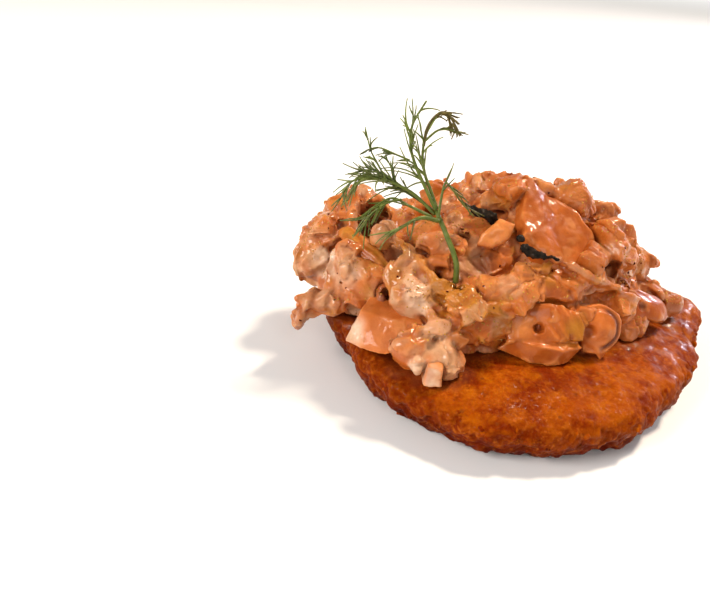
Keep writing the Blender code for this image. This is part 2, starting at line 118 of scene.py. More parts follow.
# Rust brown; also painted shade in creases and in some dents.
RUST = (0.34, 0.066, 0.008)
MAROON = (0.12, 0.03, 0.018)
BROWN_SPECK = (0.20, 0.05, 0.010)
BLACK_GREEN = (0.008, 0.006, 0.004)
BLACK_BROWN = (0.030, 0.015, 0.008)
DILL_PALE = (0.17, 0.19, 0.055)
DILL_GREEN = (0.125, 0.155, 0.026)
DILL_DARK = (0.065, 0.085, 0.022)
DILL_BROWN = (0.105, 0.075, 0.015)
OIL = (0.85, 0.45, 0.08)


# Meshes as arrays: points (n, 3) and faces, a list of index tuples or an array (m, 4)


def make_object(name, points, faces, material):
    mesh = bpy.data.meshes.new(name)
    mesh.from_pydata([tuple(point) for point in points], [], [tuple(face) for face in faces])
    mesh.materials.append(material)
    mesh.shade_smooth()
    mesh.update()
    item = bpy.data.objects.new(name, mesh)
    bpy.context.scene.collection.objects.link(item)
    return item


def arrays_of(mesh):
    points = np.empty(len(mesh.vertices) * 3)
    mesh.vertices.foreach_get("co", points)
    return points.reshape(-1, 3), [tuple(face.vertices) for face in mesh.polygons]


def tree_of(node):
    points, faces = arrays_of(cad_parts[node].data)
    return BVHTree.FromPolygons(points.tolist(), faces)


def remeshed(points, faces, voxel):
    """One closed skin round everything that the faces enclose, in even quads."""
    item = make_object("draft", points, faces, None)
    modifier = item.modifiers.new("skin", "REMESH")
    modifier.mode = "VOXEL"
    modifier.voxel_size = voxel * MM
    modifier.adaptivity = 0.0
    graph = bpy.context.evaluated_depsgraph_get()
    skin = bpy.data.meshes.new_from_object(item.evaluated_get(graph))
    draft = item.data
    bpy.data.objects.remove(item)
    bpy.data.meshes.remove(draft)
    new_points, new_faces = arrays_of(skin)
    bpy.data.meshes.remove(skin)
    return new_points, np.array(new_faces)


def averaged(values, quads, rounds=1):
    """Values (n, k) evened out among neighbours a number of times."""
    starts = quads.ravel()
    ends = np.roll(quads, -1, axis=1).ravel()
    count = len(values)
    weight = np.bincount(starts, minlength=count) + np.bincount(ends, minlength=count)
    result = values.copy()
    for _ in range(rounds):
        for axis in range(values.shape[1]):
            column = result[:, axis]
            total = np.bincount(starts, column[ends], count) + np.bincount(ends, column[starts], count)
            result[:, axis] = total / weight
    return result


def smoothed(points, quads, rounds):
    for _ in range(rounds):
        points = points + 0.5 * (averaged(points, quads) - points)
    return points


def normals_of(points, quads):
    across = points[quads[:, 2]] - points[quads[:, 0]]
    along = points[quads[:, 3]] - points[quads[:, 1]]
    facing = np.cross(across, along)
    result = np.zeros_like(points)
    for axis in range(3):
        for corner in range(4):
            result[:, axis] += np.bincount(quads[:, corner], facing[:, axis], len(points))
    return result / np.maximum(np.linalg.norm(result, axis=1, keepdims=True), 1e-12)


def displaced(points, normals, heights):
    """The points moved along their normals by a height each."""
    return points + normals * (heights * MM).reshape(-1, 1)


def bulge_at(points, quads, normals, rounds):
    """How far each point stands out from its surroundings: above 0 on edges, below 0 in creases."""
    return ((points - averaged(points, quads, rounds)) * normals).sum(axis=1) / MM


def in_frame(point):
    """A place counted from the pancake's middle, as a point of the frame."""
    return Vector(point) * MM + MIDDLE


def distance_from(middle, points):
    return np.linalg.norm(points - np.array(in_frame(middle)), axis=1) / MM


# Noise at each of many points, with features of one size


def noise_at(points, size, offset=0.0):
    """Smooth noise from about -1 to 1."""
    return np.array([noise.noise(place) for place in (points / (size * MM) + offset).tolist()])


def ridges_at(points, size, offset=0.0):
    """Noise with sharp crests, from 0 in the troughs to 1 on the crests."""
    return 1.0 - 2.0 * np.abs(noise_at(points, size, offset))


def pushed(points, size, amount, offset):
    """The points pushed about by noise, so that flat faces and straight edges waver."""
    shifts = [noise_at(points, size, offset + step) for step in (0.0, 10.0, 20.0)]
    return points + np.stack(shifts, axis=1) * (amount * MM)


def cells_at(points, size):
    """The distances to the two nearest of scattered seeds, and the place of the nearest, in sizes."""
    distances = []
    seeds = []
    for place in (points / (size * MM)).tolist():
        reaches, nearest = noise.voronoi(place)
        distances.append(reaches[:2])
        seeds.append(nearest[0])
    return np.array(distances), seeds


def pick_of(seed):
    """A random vector with values from 0 to 1 for a seed."""
    return noise.cell_vector(seed * 7.0)


def facets_at(points, size):
    """Heights of tilted facets that break off at their borders, from -1 to 1."""
    heights = []
    for place, seed in zip((points / (size * MM)).tolist(), cells_at(points, size)[1]):
        slope = pick_of(seed) - Vector((0.5, 0.5, 0.5))
        heights.append((Vector(place) - seed).dot(slope))
    return np.clip(np.array(heights) * 4.0, -1.0, 1.0)


def creases_at(points, size, width):
    """Narrow valleys between lumps: 1 in a valley and 0 on the lumps."""
    distances, _ = cells_at(points, size)
    return smooth_step(width / size, 0.0, distances[:, 1] - distances[:, 0])


def smooth_step(low, high, values):
    share = np.clip((values - low) / (high - low), 0.0, 1.0)
    return share * share * (3.0 - 2.0 * share)


def between(ends, share):
    return ends[0] + (ends[1] - ends[0]) * share


# Colours (n, 3) of a mesh's points


def layered(colours, *layers):
    """Colours with tints laid over them in turn, each with its share at each point."""
    for tint, share in layers:
        share = np.asarray(share).reshape(-1, 1)
        colours = np.asarray(colours) * (1.0 - share) + np.asarray(tint) * share
    return colours


def openness(points, quads, normals, reach, rays, draw):
    """How much of the space before each point is free within a reach, from 0 to 1."""
    lift = 0.3 * MM
    forwards = 1.1
    tree = BVHTree.FromPolygons(points.tolist(), quads.tolist())
    headings = [Vector([draw.gauss(0, 1) for _ in range(3)]).normalized() for _ in range(rays)]
    result = np.zeros(len(points))
    for index, (point, normal) in enumerate(zip(points.tolist(), normals.tolist())):
        normal = Vector(normal)
        start = Vector(point) + normal * lift
        free = 0
        for heading in headings:
            ray = (heading + normal * forwards).normalized()
            if tree.ray_cast(start, ray, reach * MM)[0] is None:
                free += 1
        result[index] = free / rays
    return result


def add_piece(name, node, arrays, material, colours, wetness=0.0):
    """A visible piece, with a colour for each point as its tint and how wet it is as the tint's alpha."""
    item = make_object(name, *arrays, material)
    rgba = np.ones((len(item.data.vertices), 4))
    rgba[:, :3] = np.clip(colours, 0.0, 1.0)
    rgba[:, 3] = wetness
    layer = item.data.color_attributes.new("tint", "FLOAT_COLOR", "POINT")
    layer.data.foreach_set("color", rgba.ravel())
    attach(item, "root")
    if node:
        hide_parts(node)
    return item


# Materials


class Nodes:
    """Short calls to wire the nodes of a material or a world."""

    def __init__(self, owner):
        owner.use_nodes = True
        self.owner = owner
        self.tree = owner.node_tree
        self.coordinates = self.add("ShaderNodeTexCoord").outputs

    def add(self, kind, inputs=None, **settings):
        node = self.tree.nodes.new(kind)
        for key, value in settings.items():
            setattr(node, key, value)
        for key, value in (inputs or {}).items():
            self.join(value, node.inputs[key])
        return node

    def join(self, value, socket):
        if isinstance(value, bpy.types.NodeSocket):
            self.tree.links.new(value, socket)
        elif socket.type == "RGBA":
            socket.default_value = (*value, 1.0)
        else:
            socket.default_value = value

    def noise(self, size, detail, roughness):
        """Noise from 0 to 1 with features of a size."""
        inputs = {"Vector": self.coordinates["Object"], "Scale": 1.0 / (size * MM)}
        inputs |= {"Detail": detail, "Roughness": roughness}
        return self.add("ShaderNodeTexNoise", inputs).outputs["Fac"]

    def cells(self, size):
        """The distance from scattered points, and a colour for each of their cells."""
        inputs = {"Vector": self.coordinates["Object"], "Scale": 1.0 / (size * MM)}
        outputs = self.add("ShaderNodeTexVoronoi", inputs).outputs
        return outputs["Distance"], outputs["Color"]

    def ranged(self, value, source, target=(0.0, 1.0), **settings):
        inputs = {"Value": value, "From Min": source[0], "From Max": source[1]}
        inputs |= {"To Min": target[0], "To Max": target[1]}
        return self.add("ShaderNodeMapRange", inputs, **settings).outputs["Result"]

    def patches(self, size, detail, roughness, source, target=(0.0, 1.0)):
        return self.ranged(self.noise(size, detail, roughness), source, target)

    def maths(self, operation, first, second):
        return self.add("ShaderNodeMath", {0: first, 1: second}, operation=operation).outputs["Value"]

    def blend(self, share, first, second, kind="MIX"):
        node = self.add("ShaderNodeMix", {0: share, 6: first, 7: second}, data_type="RGBA", blend_type=kind)
        return node.outputs[2]

    def times(self, colour, factors):
        return self.blend(1.0, colour, factors, "MULTIPLY")

    def dots(self, colour, dot_colour, size, channel, source, strength):
        """Dots in a fifth of the cells of one size; a channel of the cells' colours picks which."""
        distance, picks = self.cells(size)
        picked = self.add("ShaderNodeSeparateColor", {"Color": picks}).outputs[channel]
        chosen = self.ranged(picked, (0.80, 0.82))
        dot = self.ranged(distance, source, (strength, 0.0))
        return self.blend(self.maths("MULTIPLY", chosen, dot), colour, dot_colour)

    def relief(self, *layers):
        """Bumps over bumps: the size, detail, roughness and depth of each."""
        inputs = {"Strength": 1.0}
        for size, detail, roughness, depth in layers:
            inputs |= {"Height": self.noise(size, detail, roughness), "Distance": depth * MM}
            inputs["Normal"] = self.add("ShaderNodeBump", inputs).outputs["Normal"]
        return inputs["Normal"]

    def tint(self):
        outputs = self.add("ShaderNodeAttribute", attribute_name="tint").outputs
        return outputs["Color"], outputs["Alpha"]

    def finish(self, shader="Principled BSDF", **sockets):
        """Sets or wires a shader's sockets, in whose names an underscore stands for a space."""
        for name, value in sockets.items():
            self.join(value, self.tree.nodes[shader].inputs[name.replace("_", " ")])
        return self.owner


def wet_material(name, gloss, glow, lumps):
    """Moist food: its tint with fine mottling, a wet coat, and light that spreads under the surface."""
    nodes = Nodes(bpy.data.materials.new(name))
    tint, wetness = nodes.tint()
    darker = nodes.times(tint, (0.84, 0.74, 0.62))
    lighter = nodes.times(tint, (1.10, 1.13, 1.18))
    grainy = nodes.times(tint, (0.86, 0.78, 0.66))
    colour = nodes.blend(nodes.patches(3.0, 3.0, 0.55, (0.34, 0.66)), darker, lighter)
    colour = nodes.blend(nodes.patches(0.45, 3.0, 0.6, (0.34, 0.66), (0.30, 0.0)), colour, grainy)
    patchy = nodes.patches(1.8, 2.0, 0.5, (0.40, 0.60), (0.5, 1.0))
    wet = nodes.ranged(wetness, (0.0, 1.0), (0.6 * gloss, gloss))
    bumps = ((0.35, 3.0, 0.65, 0.07), (0.9, 2.0, 0.5, 0.12 * lumps), (2.0, 2.0, 0.5, 0.15 * lumps))
    return nodes.finish(
        Base_Color=nodes.dots(colour, BROWN_SPECK, 1.3, "Red", (0.10, 0.26), 0.35),
        Roughness=nodes.patches(2.2, 3.0, 0.5, (0.35, 0.65), (0.30, 0.55)),
        Normal=nodes.relief(*bumps),
        IOR=1.42,
        Specular_IOR_Level=0.28,
        Specular_Tint=(1.0, 0.82, 0.66),
        Coat_Weight=nodes.maths("MULTIPLY", wet, patchy),
        Coat_Roughness=0.08,
        Coat_IOR=1.4,
        Subsurface_Weight=glow,
        Subsurface_Radius=(1.0, 0.42, 0.18),
        Subsurface_Scale=1.4 * MM,
    )


def fried_material(name):
    """Fried potato: grainy golden batter with pale bubbles and burnt specks under a film of oil."""
    nodes = Nodes(bpy.data.materials.new(name))
    tint, wetness = nodes.tint()
    darker = nodes.times(tint, (0.80, 0.68, 0.55))
    lighter = nodes.times(tint, (1.12, 1.20, 1.30))
    colour = nodes.blend(nodes.patches(0.9, 4.0, 0.7, (0.36, 0.66)), darker, lighter)
    colour = nodes.blend(nodes.patches(5.0, 3.0, 0.6, (0.36, 0.66), (0.0, 0.30)), colour, darker)
    colour = nodes.dots(colour, BURNT_SPECK, 2.2, "Green", (0.12, 0.24), 0.7)
    bubbles = nodes.ranged(nodes.cells(1.1)[0], (0.05, 0.55), (0.20, 0.0))
    froth = nodes.patches(0.8, 3.0, 0.6, (0.52, 0.64), (0.0, 0.30))
    bubbly = nodes.patches(4.0, 3.0, 0.6, (0.42, 0.58))
    pale = nodes.maths("MULTIPLY", nodes.maths("ADD", bubbles, froth), bubbly)
    sparkles = nodes.patches(0.5, 2.0, 0.6, (0.56, 0.66), (0.0, 0.16))
    film = nodes.ranged(wetness, (0.0, 1.0), (0.0, 0.7))
    return nodes.finish(
        Base_Color=nodes.blend(pale, colour, PALE_BUBBLE),
        Roughness=nodes.patches(1.5, 3.0, 0.5, (0.35, 0.65), (0.32, 0.70)),
        Normal=nodes.relief((0.4, 4.0, 0.7, 0.15), (1.3, 4.0, 0.65, 0.24)),
        Specular_IOR_Level=0.05,
        Specular_Tint=(1.0, 0.45, 0.10),
        Coat_Weight=nodes.maths("MAXIMUM", film, sparkles),
        Coat_Roughness=0.28,
        Subsurface_Weight=0.20,
        Subsurface_Radius=(1.0, 0.35, 0.1),
        Subsurface_Scale=1.2 * MM,
    )


def leaf_material(name):
    nodes = Nodes(bpy.data.materials.new(name))
    tint, _ = nodes.tint()
    darker = nodes.times(tint, (0.65, 0.70, 0.60))
    return nodes.finish(
        Base_Color=nodes.blend(nodes.patches(1.2, 2.0, 0.5, (0.35, 0.65)), darker, tint),
        Normal=nodes.relief((0.3, 2.0, 0.5, 0.05)),
        Roughness=0.38,
        Specular_IOR_Level=0.30,
        Subsurface_Weight=0.10,
        Subsurface_Radius=(0.5, 1.0, 0.2),
        Subsurface_Scale=0.5 * MM,
    )


def dark_material(name):
    """Wet and nearly black: the skin of a mushroom, and flecks of pepper and herb."""
    nodes = Nodes(bpy.data.materials.new(name))
    tint, _ = nodes.tint()
    return nodes.finish(
        Base_Color=nodes.blend(nodes.patches(0.9, 3.0, 0.6, (0.45, 0.70)), tint, BLACK_BROWN),
        Normal=nodes.relief((0.35, 3.0, 0.6, 0.08), (1.1, 3.0, 0.6, 0.25)),
        Roughness=0.7,
        Specular_IOR_Level=0.05,
        Coat_Weight=0.10,
        Coat_Roughness=0.05,
    )


def oil_material(name):
    nodes = Nodes(bpy.data.materials.new(name))
    tint, _ = nodes.tint()
    darker = nodes.times(tint, (0.7, 0.6, 0.5))
    return nodes.finish(
        Base_Color=nodes.blend(nodes.patches(4.0, 2.0, 0.5, (0.4, 0.6)), darker, tint),
        Roughness=0.08,
        IOR=1.47,
        Transmission_Weight=0.35,
    )


# Pancake


def crust_relief(points, rise, rim, pits):
    """Heights of shreds, lumps and pits on the crust, and of crags and a frill at its rim."""
    undulation = 0.30 * noise_at(points, 7.0) + 0.22 * noise_at(points, 2.6, 5.0)
    shreds = 0.18 * ridges_at(points * np.array((1.0, 0.35, 1.0)), 1.3)
    shreds += 0.18 * ridges_at(points * np.array((0.4, 1.0, 1.0)), 1.4, 9.0)
    lumps = 0.10 * smooth_step(0.5, 0.0, cells_at(points, 1.5)[0][:, 0]) + 0.12 * noise_at(points, 1.0, 2.0)
    crags = 0.42 * noise_at(points, 1.9, 7.0) + 0.34 * ridges_at(points, 3.2, 3.0)
    frill = smooth_step(0.55, 0.05, rise) * smooth_step(0.2, 0.6, ridges_at(points, 2.4, 33.0))
    calm = 0.6 + 0.4 * rim
    sole = smooth_step(0.02, 0.10, rise)
    return sole * (calm * (undulation + shreds + lumps - 0.32 * pits) + rim * (crags + 0.45 * frill))


def crust_colours(points, quads, rise, rim, pits, reach, juicy):
    patches = smooth_step(-0.35, 0.45, noise_at(points, 6.5, 11.0) + 0.4 * noise_at(points, 2.2, 4.0))
    bright = smooth_step(0.05, 0.65, noise_at(points, 4.0, 17.0))
    grains = np.array([pick_of(seed)[0] for seed in cells_at(points, 1.5)[1]])
    browned = smooth_step(0.15, 0.9, rim + 0.35 * noise_at(points, 4.5, 21.0) + (reach > 40) * 0.1)
    across = (points[:, 0] - MIDDLE.x) / MM
    # Painted shade: the crust's left side is darkened.
    shaded_left_side = smooth_step(-18, -40, across + 6 * noise_at(points, 8.0, 61.0))
    # Darker low rim: browned crust, and painted shade where the rim turns under.
    low_edge = smooth_step(0.70, 0.15, rise + 0.25 * noise_at(points, 3.0, 8.0))
    bulge = bulge_at(points, quads, normals_of(points, quads), 3)
    return layered(
        TAWNY,
        (GOLDEN, patches),
        (YELLOW_GOLD, 0.6 * bright),
        (YELLOW_GOLD, 0.35 * smooth_step(0.7, 1.0, grains)),
        (TAWNY, 0.25 * smooth_step(0.3, 0.0, grains)),
        (TAWNY, 0.65 * browned),
        # Painted shade on the left side.
        (TAWNY, 0.7 * shaded_left_side),
        (CRUST_AND_SHADE, 0.25 * shaded_left_side),
        # The low rim: browned crust and painted shade.
        (CRUST_AND_SHADE, 0.95 * low_edge),
        # Painted shade in the pits.
        (CRUST_AND_SHADE, 0.30 * pits),
        # Painted highlight on raised bits and painted shade in creases.
        (YELLOW_GOLD, 0.25 * (1.0 - low_edge) * smooth_step(0.02, 0.14, bulge)),
        (CRUST_AND_SHADE, 0.30 * smooth_step(-0.03, -0.16, bulge)),
        (JUICE_AND_SHADE, 0.5 * juicy),
    )


def make_pancake():
    points, quads = remeshed(*arrays_of(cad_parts["pancake"].data), PANCAKE_VOXEL)
    points = smoothed(points, quads, 3)
    normals = normals_of(points, quads)
    low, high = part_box("pancake")
    rise = (points[:, 2] - low.z) / (high.z - low.z)
    reach = np.hypot(points[:, 0] - MIDDLE.x, points[:, 1] - MIDDLE.y) / MM
    rim = 1.0 - smooth_step(0.2, 0.95, normals[:, 2])
    pits = smooth_step(0.32, 0.05, cells_at(points + 5.0, 2.9)[0][:, 0])
    points = displaced(points, normals, crust_relief(points, rise, rim, pits))
    points[:, 2] = np.maximum(points[:, 2], low.z)

    topping = tree_of("mushroom_topping")
    away = np.array([topping.find_nearest(point)[3] for point in points.tolist()]) / MM
    juicy = smooth_step(3.2, 0.6, away + 1.2 * noise_at(points, 3.0, 81.0))
    oily = smooth_step(0, 18, points[:, 0] / MM - 12) * smooth_step(-34, -18, points[:, 1] / MM)
    oily *= smooth_step(0.6, 0.9, normals[:, 2]) * smooth_step(0.05, 0.40, noise_at(points, 2.6, 71.0))
    colours = crust_colours(points, quads, rise, rim, pits, reach, juicy)
    material = fried_material("fried_potato_crust")
    wetness = np.maximum(oily, 0.9 * juicy)
    return add_piece("fried_pancake", "pancake", (points, quads), material, colours, wetness)


# Shapes as arrays, the small ones of the topping each in a box of two units a side round the origin


def shape_arrays(shape):
    shape.verts.index_update()
    points = np.array([vertex.co for vertex in shape.verts])
    faces = [tuple(vertex.index for vertex in face.verts) for face in shape.faces]
    shape.free()
    return points, faces


def hull_round(corners):
    """The solid with flat faces round some points."""
    shape = bmesh.new()
    for corner in corners:
        shape.verts.new(corner)
    bmesh.ops.convex_hull(shape, input=shape.verts[:])
    inner = [vertex for vertex in shape.verts if not vertex.link_faces]
    bmesh.ops.delete(shape, geom=inner, context="VERTS")
    return shape_arrays(shape)


def lofted(rings):
    """A closed skin through rings of equally many points, with an end face on the first and the last."""
    count = len(rings[0])
    points = np.array([point for ring in rings for point in ring])
    faces = []
    for start in range(0, len(points) - count, count):
        for side in range(count):
            after = (side + 1) % count
            faces.append((start + side, start + after, start + count + after, start + count + side))
    faces.append(tuple(reversed(range(count))))
    faces.append(tuple(range(len(points) - count, len(points))))
    return points, faces


def ball(subdivisions):
    shape = bmesh.new()
    bmesh.ops.create_icosphere(shape, subdivisions=subdivisions, radius=1.0)
    return shape_arrays(shape)


def tube(route, radii, sides):
    """A closed tube along a route, with a radius in metres at each of its points."""
    angles = [2 * math.pi * side / sides for side in range(sides)]
    circle = [Vector((math.cos(angle), math.sin(angle), 0)) for angle in angles]
    last = len(route) - 1
    rings = []
    for index, point in enumerate(route):
        ahead = route[min(index + 1, last)] - route[max(index - 1, 0)]
        turn = ahead.to_track_quat("Z", "X").to_matrix()
        rings.append([point + turn @ spoke * radii[index] for spoke in circle])
    return lofted(rings)


def smooth_route(points, steps):
    """Points along a Catmull-Rom curve through the given ones."""
    ends = [points[0] * 2 - points[1]] + list(points) + [points[-1] * 2 - points[-2]]
    spans = len(points) - 1
    route = []
    for step in range(steps + 1):
        place = spans * step / steps
        span = min(int(place), spans - 1)
        t = place - span
        a, b, c, d = ends[span:span + 4]
        route.append(0.5 * (2 * b + (c - a) * t + (2 * a - 5 * b + 4 * c - d) * t * t
                            + (3 * b - a - 3 * c + d) * t ** 3))
    return route


def unit_chunk(draw):
    """A cut and torn block: the hull of points scattered near a cube's corners and faces."""
    corners = []
    for _ in range(13):
        corner = Vector([draw.uniform(-1, 1) for _ in range(3)])
        corner /= max(abs(value) for value in corner)
        corners.append(corner * draw.uniform(0.78, 1.0))
    return hull_round(corners)


def unit_blob(draw):
    points, faces = ball(2)
    offset = Vector([draw.uniform(0, 9) for _ in range(3)])
    corners = [Vector(point) for point in points]
    return np.array([corner * (1.0 + 0.25 * noise.noise(corner * 1.2 + offset)) for corner in corners]), faces


def prism(outline, bend):
    """A flat plate with a given outline, bent like a saddle along X."""
    rings = []
    for inset, height in ((0.82, -1.0), (1.0, -0.4), (1.0, 0.4), (0.82, 1.0)):
        rings.append([Vector((x * inset, y * inset, height + bend * (x * x - 0.5))) for x, y in outline])
    return lofted(rings)


def unit_slice(draw):
    """A slice through a mushroom: a domed cap over a short stalk."""
    dome_steps = 10
    outline = []
    for step in range(dome_steps + 1):
        turn = math.pi * step / dome_steps
        outline.append((math.cos(turn), 0.1 + 0.9 * math.sin(turn)))
    stalk = draw.uniform(0.3, 0.45)
    outline += [(-0.95, -0.25), (-0.6, -0.2), (-stalk, -0.35), (-stalk, -0.95), (stalk, -0.95)]
    outline += [(stalk, -0.35), (0.6, -0.2), (0.95, -0.25)]
    return prism(outline, draw.uniform(-1.6, 1.6))


def unit_chip(draw):
    """A torn flat scrap with five to seven uneven corners."""
    corners = draw.randint(5, 7)
    outline = []
    for corner in range(corners):
        turn = 2 * math.pi * (corner + draw.uniform(-0.3, 0.3)) / corners
        reach = draw.uniform(0.7, 1.0)
        outline.append((reach * math.cos(turn), reach * math.sin(turn)))
    return prism(outline, draw.uniform(-1.2, 1.2))


def unit_strip(draw):
    """A band along X that curls up or down and sways to a side."""
    section = ((-1, -0.5), (-0.6, -1), (0.6, -1), (1, -0.2), (0.6, 0.8), (-0.6, 1))
    steps = 9
    curl = draw.uniform(-2.6, 2.6)
    sway = draw.uniform(-1.6, 1.6)
    rings = []
    for step in range(steps + 1):
        along = -1.0 + 2.0 * step / steps
        wide = 1.0 - 0.55 * abs(along) ** 4
        bent = along * along - 0.4
        rings.append([Vector((along, y * wide + sway * bent, z * wide + curl * bent)) for y, z in section])
    return lofted(rings)


SHAPES = {"chunk": unit_chunk, "blob": unit_blob, "slice": unit_slice, "chip": unit_chip, "strip": unit_strip}


def turn_by(degrees):
    return Euler([math.radians(value) for value in degrees]).to_matrix()


def turn_to(normal):
    return normal.to_track_quat("Z", "Y").to_matrix()


def placed(arrays, middle, size, turn):
    """A unit shape at a point of the frame, with a size in metres and a turn."""
    points, faces = arrays
    matrix = np.array(turn @ Matrix.Diagonal(Vector(size) / 2))
    return points @ matrix.T + np.array(middle), faces


def laid(arrays, middle, matrix):
    """A shape in millimetres at a place, turned and stretched by a matrix."""
    points, faces = arrays
    return points @ np.array(matrix).T * MM + np.array(in_frame(middle)), faces


class Pile:
    """Shapes gathered into one mesh, each with its own tint."""

    def __init__(self):
        self.points = []
        self.faces = []
        self.tints = []
        self.count = 0

    def add(self, arrays, tint=None):
        points, faces = arrays
        self.points.append(points)
        self.faces += [tuple(index + self.count for index in face) for face in faces]
        self.tints += [tint] * len(faces)
        self.count += len(points)

    def arrays(self):
        return np.concatenate(self.points), self.faces


def add_pile(name, node, pile, material):
    points, faces = pile.arrays()
    colours = np.zeros((len(points), 3))
    for face, tint in zip(faces, pile.tints):
        colours[list(face)] = tint
    add_piece(name, node, (points, faces), material, colours)


def surface_spots(mesh, draw, count, lowest):
    """Evenly drawn spots on a mesh that face up or outwards over a height in metres, and their normals."""
    least_upward = -0.2
    points, faces = arrays_of(mesh)
    corners = [face[:3] for face in faces]
    corners += [(face[0], face[2], face[3]) for face in faces if len(face) == 4]
    triangles = points[np.array(corners)]
    crosses = np.cross(triangles[:, 1] - triangles[:, 0], triangles[:, 2] - triangles[:, 0])
    areas = np.linalg.norm(crosses, axis=1)
    normals = crosses / np.maximum(areas, 1e-15).reshape(-1, 1)
    totals = np.cumsum(areas)
    spots = []
    while len(spots) < count:
        index = int(np.searchsorted(totals, draw.random() * totals[-1]))
        first, second = draw.random(), draw.random()
        if first + second > 1:
            first, second = 1 - first, 1 - second
        a, b, c = triangles[index]
        spot = a + (b - a) * first + (c - a) * second
        if spot[2] >= lowest and normals[index][2] >= least_upward:
            spots.append((Vector(spot), Vector(normals[index])))
    return spots


# Larger pieces. Outlines lie on the piece's own plane, from its middle.
CHUNK_CORNERS = (
    (-44.5, -26.5, 12.5), (-41.5, -25, 19), (-29, -29, 19.5), (-36.5, -31.5, 13), (-31, -31, 15),
    (-40, -20, 20), (-31, -22, 21), (-40, -21, 12), (-30, -23, 13),
)
CUBE_CORNERS = (
    (-28.3, -38.2, 11.4), (-25.2, -38.8, 11.6), (-25.5, -37.8, 15.0), (-28.1, -37.0, 15.3),
    (-28.5, -34.6, 11.6), (-24.9, -35.0, 11.7), (-25.2, -34.5, 15.6), (-28.0, -34.1, 15.8),
)
CRESCENT_CORNERS = (
    (-13.4, -26.6, 14.2), (-10.6, -27.2, 16.6), (-5, -28.4, 16.6), (0, -28.4, 16.0), (4.6, -26.0, 15.6),
    (-10.6, -27.2, 13.4), (-6.8, -29.0, 12.6), (-2.5, -29.2, 12.2), (1.8, -28.0, 13.0),
    (-11, -23, 16.4), (-4, -23, 17.2), (3.4, -23, 16.2), (-4, -24, 12),
)
TAIL_CORNERS = (
    (6.0, -24.4, 16.4), (10.4, -23.6, 16.6), (8.0, -25.4, 15.6), (9.0, -25.2, 12.2), (10.6, -24.2, 13.8),
    (8.5, -22.0, 13.0),
)
SLAB_OUTLINE = (
    (-13.4, 9.9), (-7.5, 7.6), (-1.9, 4.4), (2.2, -0.6), (4.1, -7), (0.4, -11.8), (-8.7, -10.2),
    (-14.1, -4.8),
)
FACE_OUTLINE = ((-8.0, 3.6), (-2, 4.4), (4, 4.0), (7.4, 2.2), (8.2, -1.0), (7.6, -3.6), (-8.2, -3.4))
FLAP_OUTLINE = (
    (-8.4, 3.1), (-1.8, 3.6), (4.3, 3.0), (7.6, 1.6), (8.2, -0.6), (5.4, -2.9), (-1.8, -3.6), (-6.9, -3.1),
)
ONION_OUTLINE = (
    (-8.6, -0.8), (-7.4, 1.4), (-2, 2.1), (4, 2.0), (8.2, 1.2), (8.4, -0.9), (3, -1.9), (-4, -2.1),
)
SHARD_OUTLINE = ((-4.4, -0.6), (-2.8, 0.9), (2, 2.5), (4.4, 0.2), (2.2, -2.0), (-2, -2.4))
LEFT_STRIP_OUTLINE = (
    (-4.2, 0.3), (-2.0, 0.6), (-0.2, 1.4), (1.6, 0.9), (3.7, 0.5), (2.4, -1.3), (0.2, -0.9), (-1.8, -0.8),
)
RIGHT_STRIP_OUTLINE = (
    (-4.0, 0.5), (-2.6, 1.0), (-1.0, 0.7), (1.4, 0.4), (5.0, 0.1), (1.3, -0.6), (-1.2, -0.9), (-3.2, -0.7),
)
OUTLINE_STEP = 0.7
SHEET_RINGS = 14
# The gilled slice: its middle and turn, the span of its skin (degrees), and its dark line's radius and width
GILL_MIDDLE = (7.6, -22.6, 18.4)
GILL_TURN = (62.0, 10.0, -4.0)
GILL_ARC = (-105, 165)
GILL_ARC_STEPS = 16
GILL_SKIN_RADIUS = 5.3
GILL_BODY_RADII = (3.7, 3.5, 1.9)
GILL_LINE = (4.15, 0.55)


def hull_of(corners):
    return hull_round([in_frame(corner) for corner in corners])


def sheet_of(outline, thickness, bow, middle, turn):
    """A sheet that thins towards its outline, bowed by a function, at its place and turn."""
    sides = []
    for start, end in zip(outline, outline[1:] + outline[:1]):
        steps = max(1, round(math.dist(start, end) / OUTLINE_STEP))
        sides.append(np.linspace(start, end, steps, endpoint=False))
    rim = np.concatenate(sides)
    outwards = [ring / SHEET_RINGS for ring in range(SHEET_RINGS + 1)]
    rings = []
    for side, shares in ((-1, outwards), (1, outwards[::-1])):
        for share in shares:
            half = thickness / 2 * (1.0 - 0.45 * share ** 6)
            x, y = rim.T * share
            rings.append(np.stack([x, y, bow(x, y) + side * half], axis=1))
    return laid(lofted(rings), middle, turn_by(turn))


def joined(*forms):
    pile = Pile()
    for form in forms:
        pile.add(form)
    return pile.arrays()


def slab_form():
    """A broad thick slice with a raised far edge and a shallow trough down its middle."""
    def bow(x, y):
        ridge = 0.9 * np.exp(-((x - 1.5 + 0.55 * y) / 2.2) ** 2)
        streaks = 0.10 * np.sin(2.4 * (x + 0.55 * y)) + 0.06 * np.sin(4.1 * (x + 0.5 * y) + 1)
        return ridge + streaks - 0.9 * np.exp(-((x + 6 + 0.3 * y) / 3.2) ** 2)
    return sheet_of(SLAB_OUTLINE, 6.0, bow, (3, -7.5, 32.8), (40, 16, 14))


def slice_form():
    """The cut cap at the front: a thick crescent with a crisp upper edge, and the flat cut face over it."""
    def bow(x, y):
        rippled = smooth_step(0.5, 2.5, x)
        return 0.25 * np.sin(x * 0.7) + rippled * 0.28 * np.sin(2.6 * x + 1.2 * y)
    face = sheet_of(FACE_OUTLINE, 3.2, bow, (-4.0, -24.2, 19.0), (55, -6, 4))
    return joined(hull_of(CRESCENT_CORNERS), face)


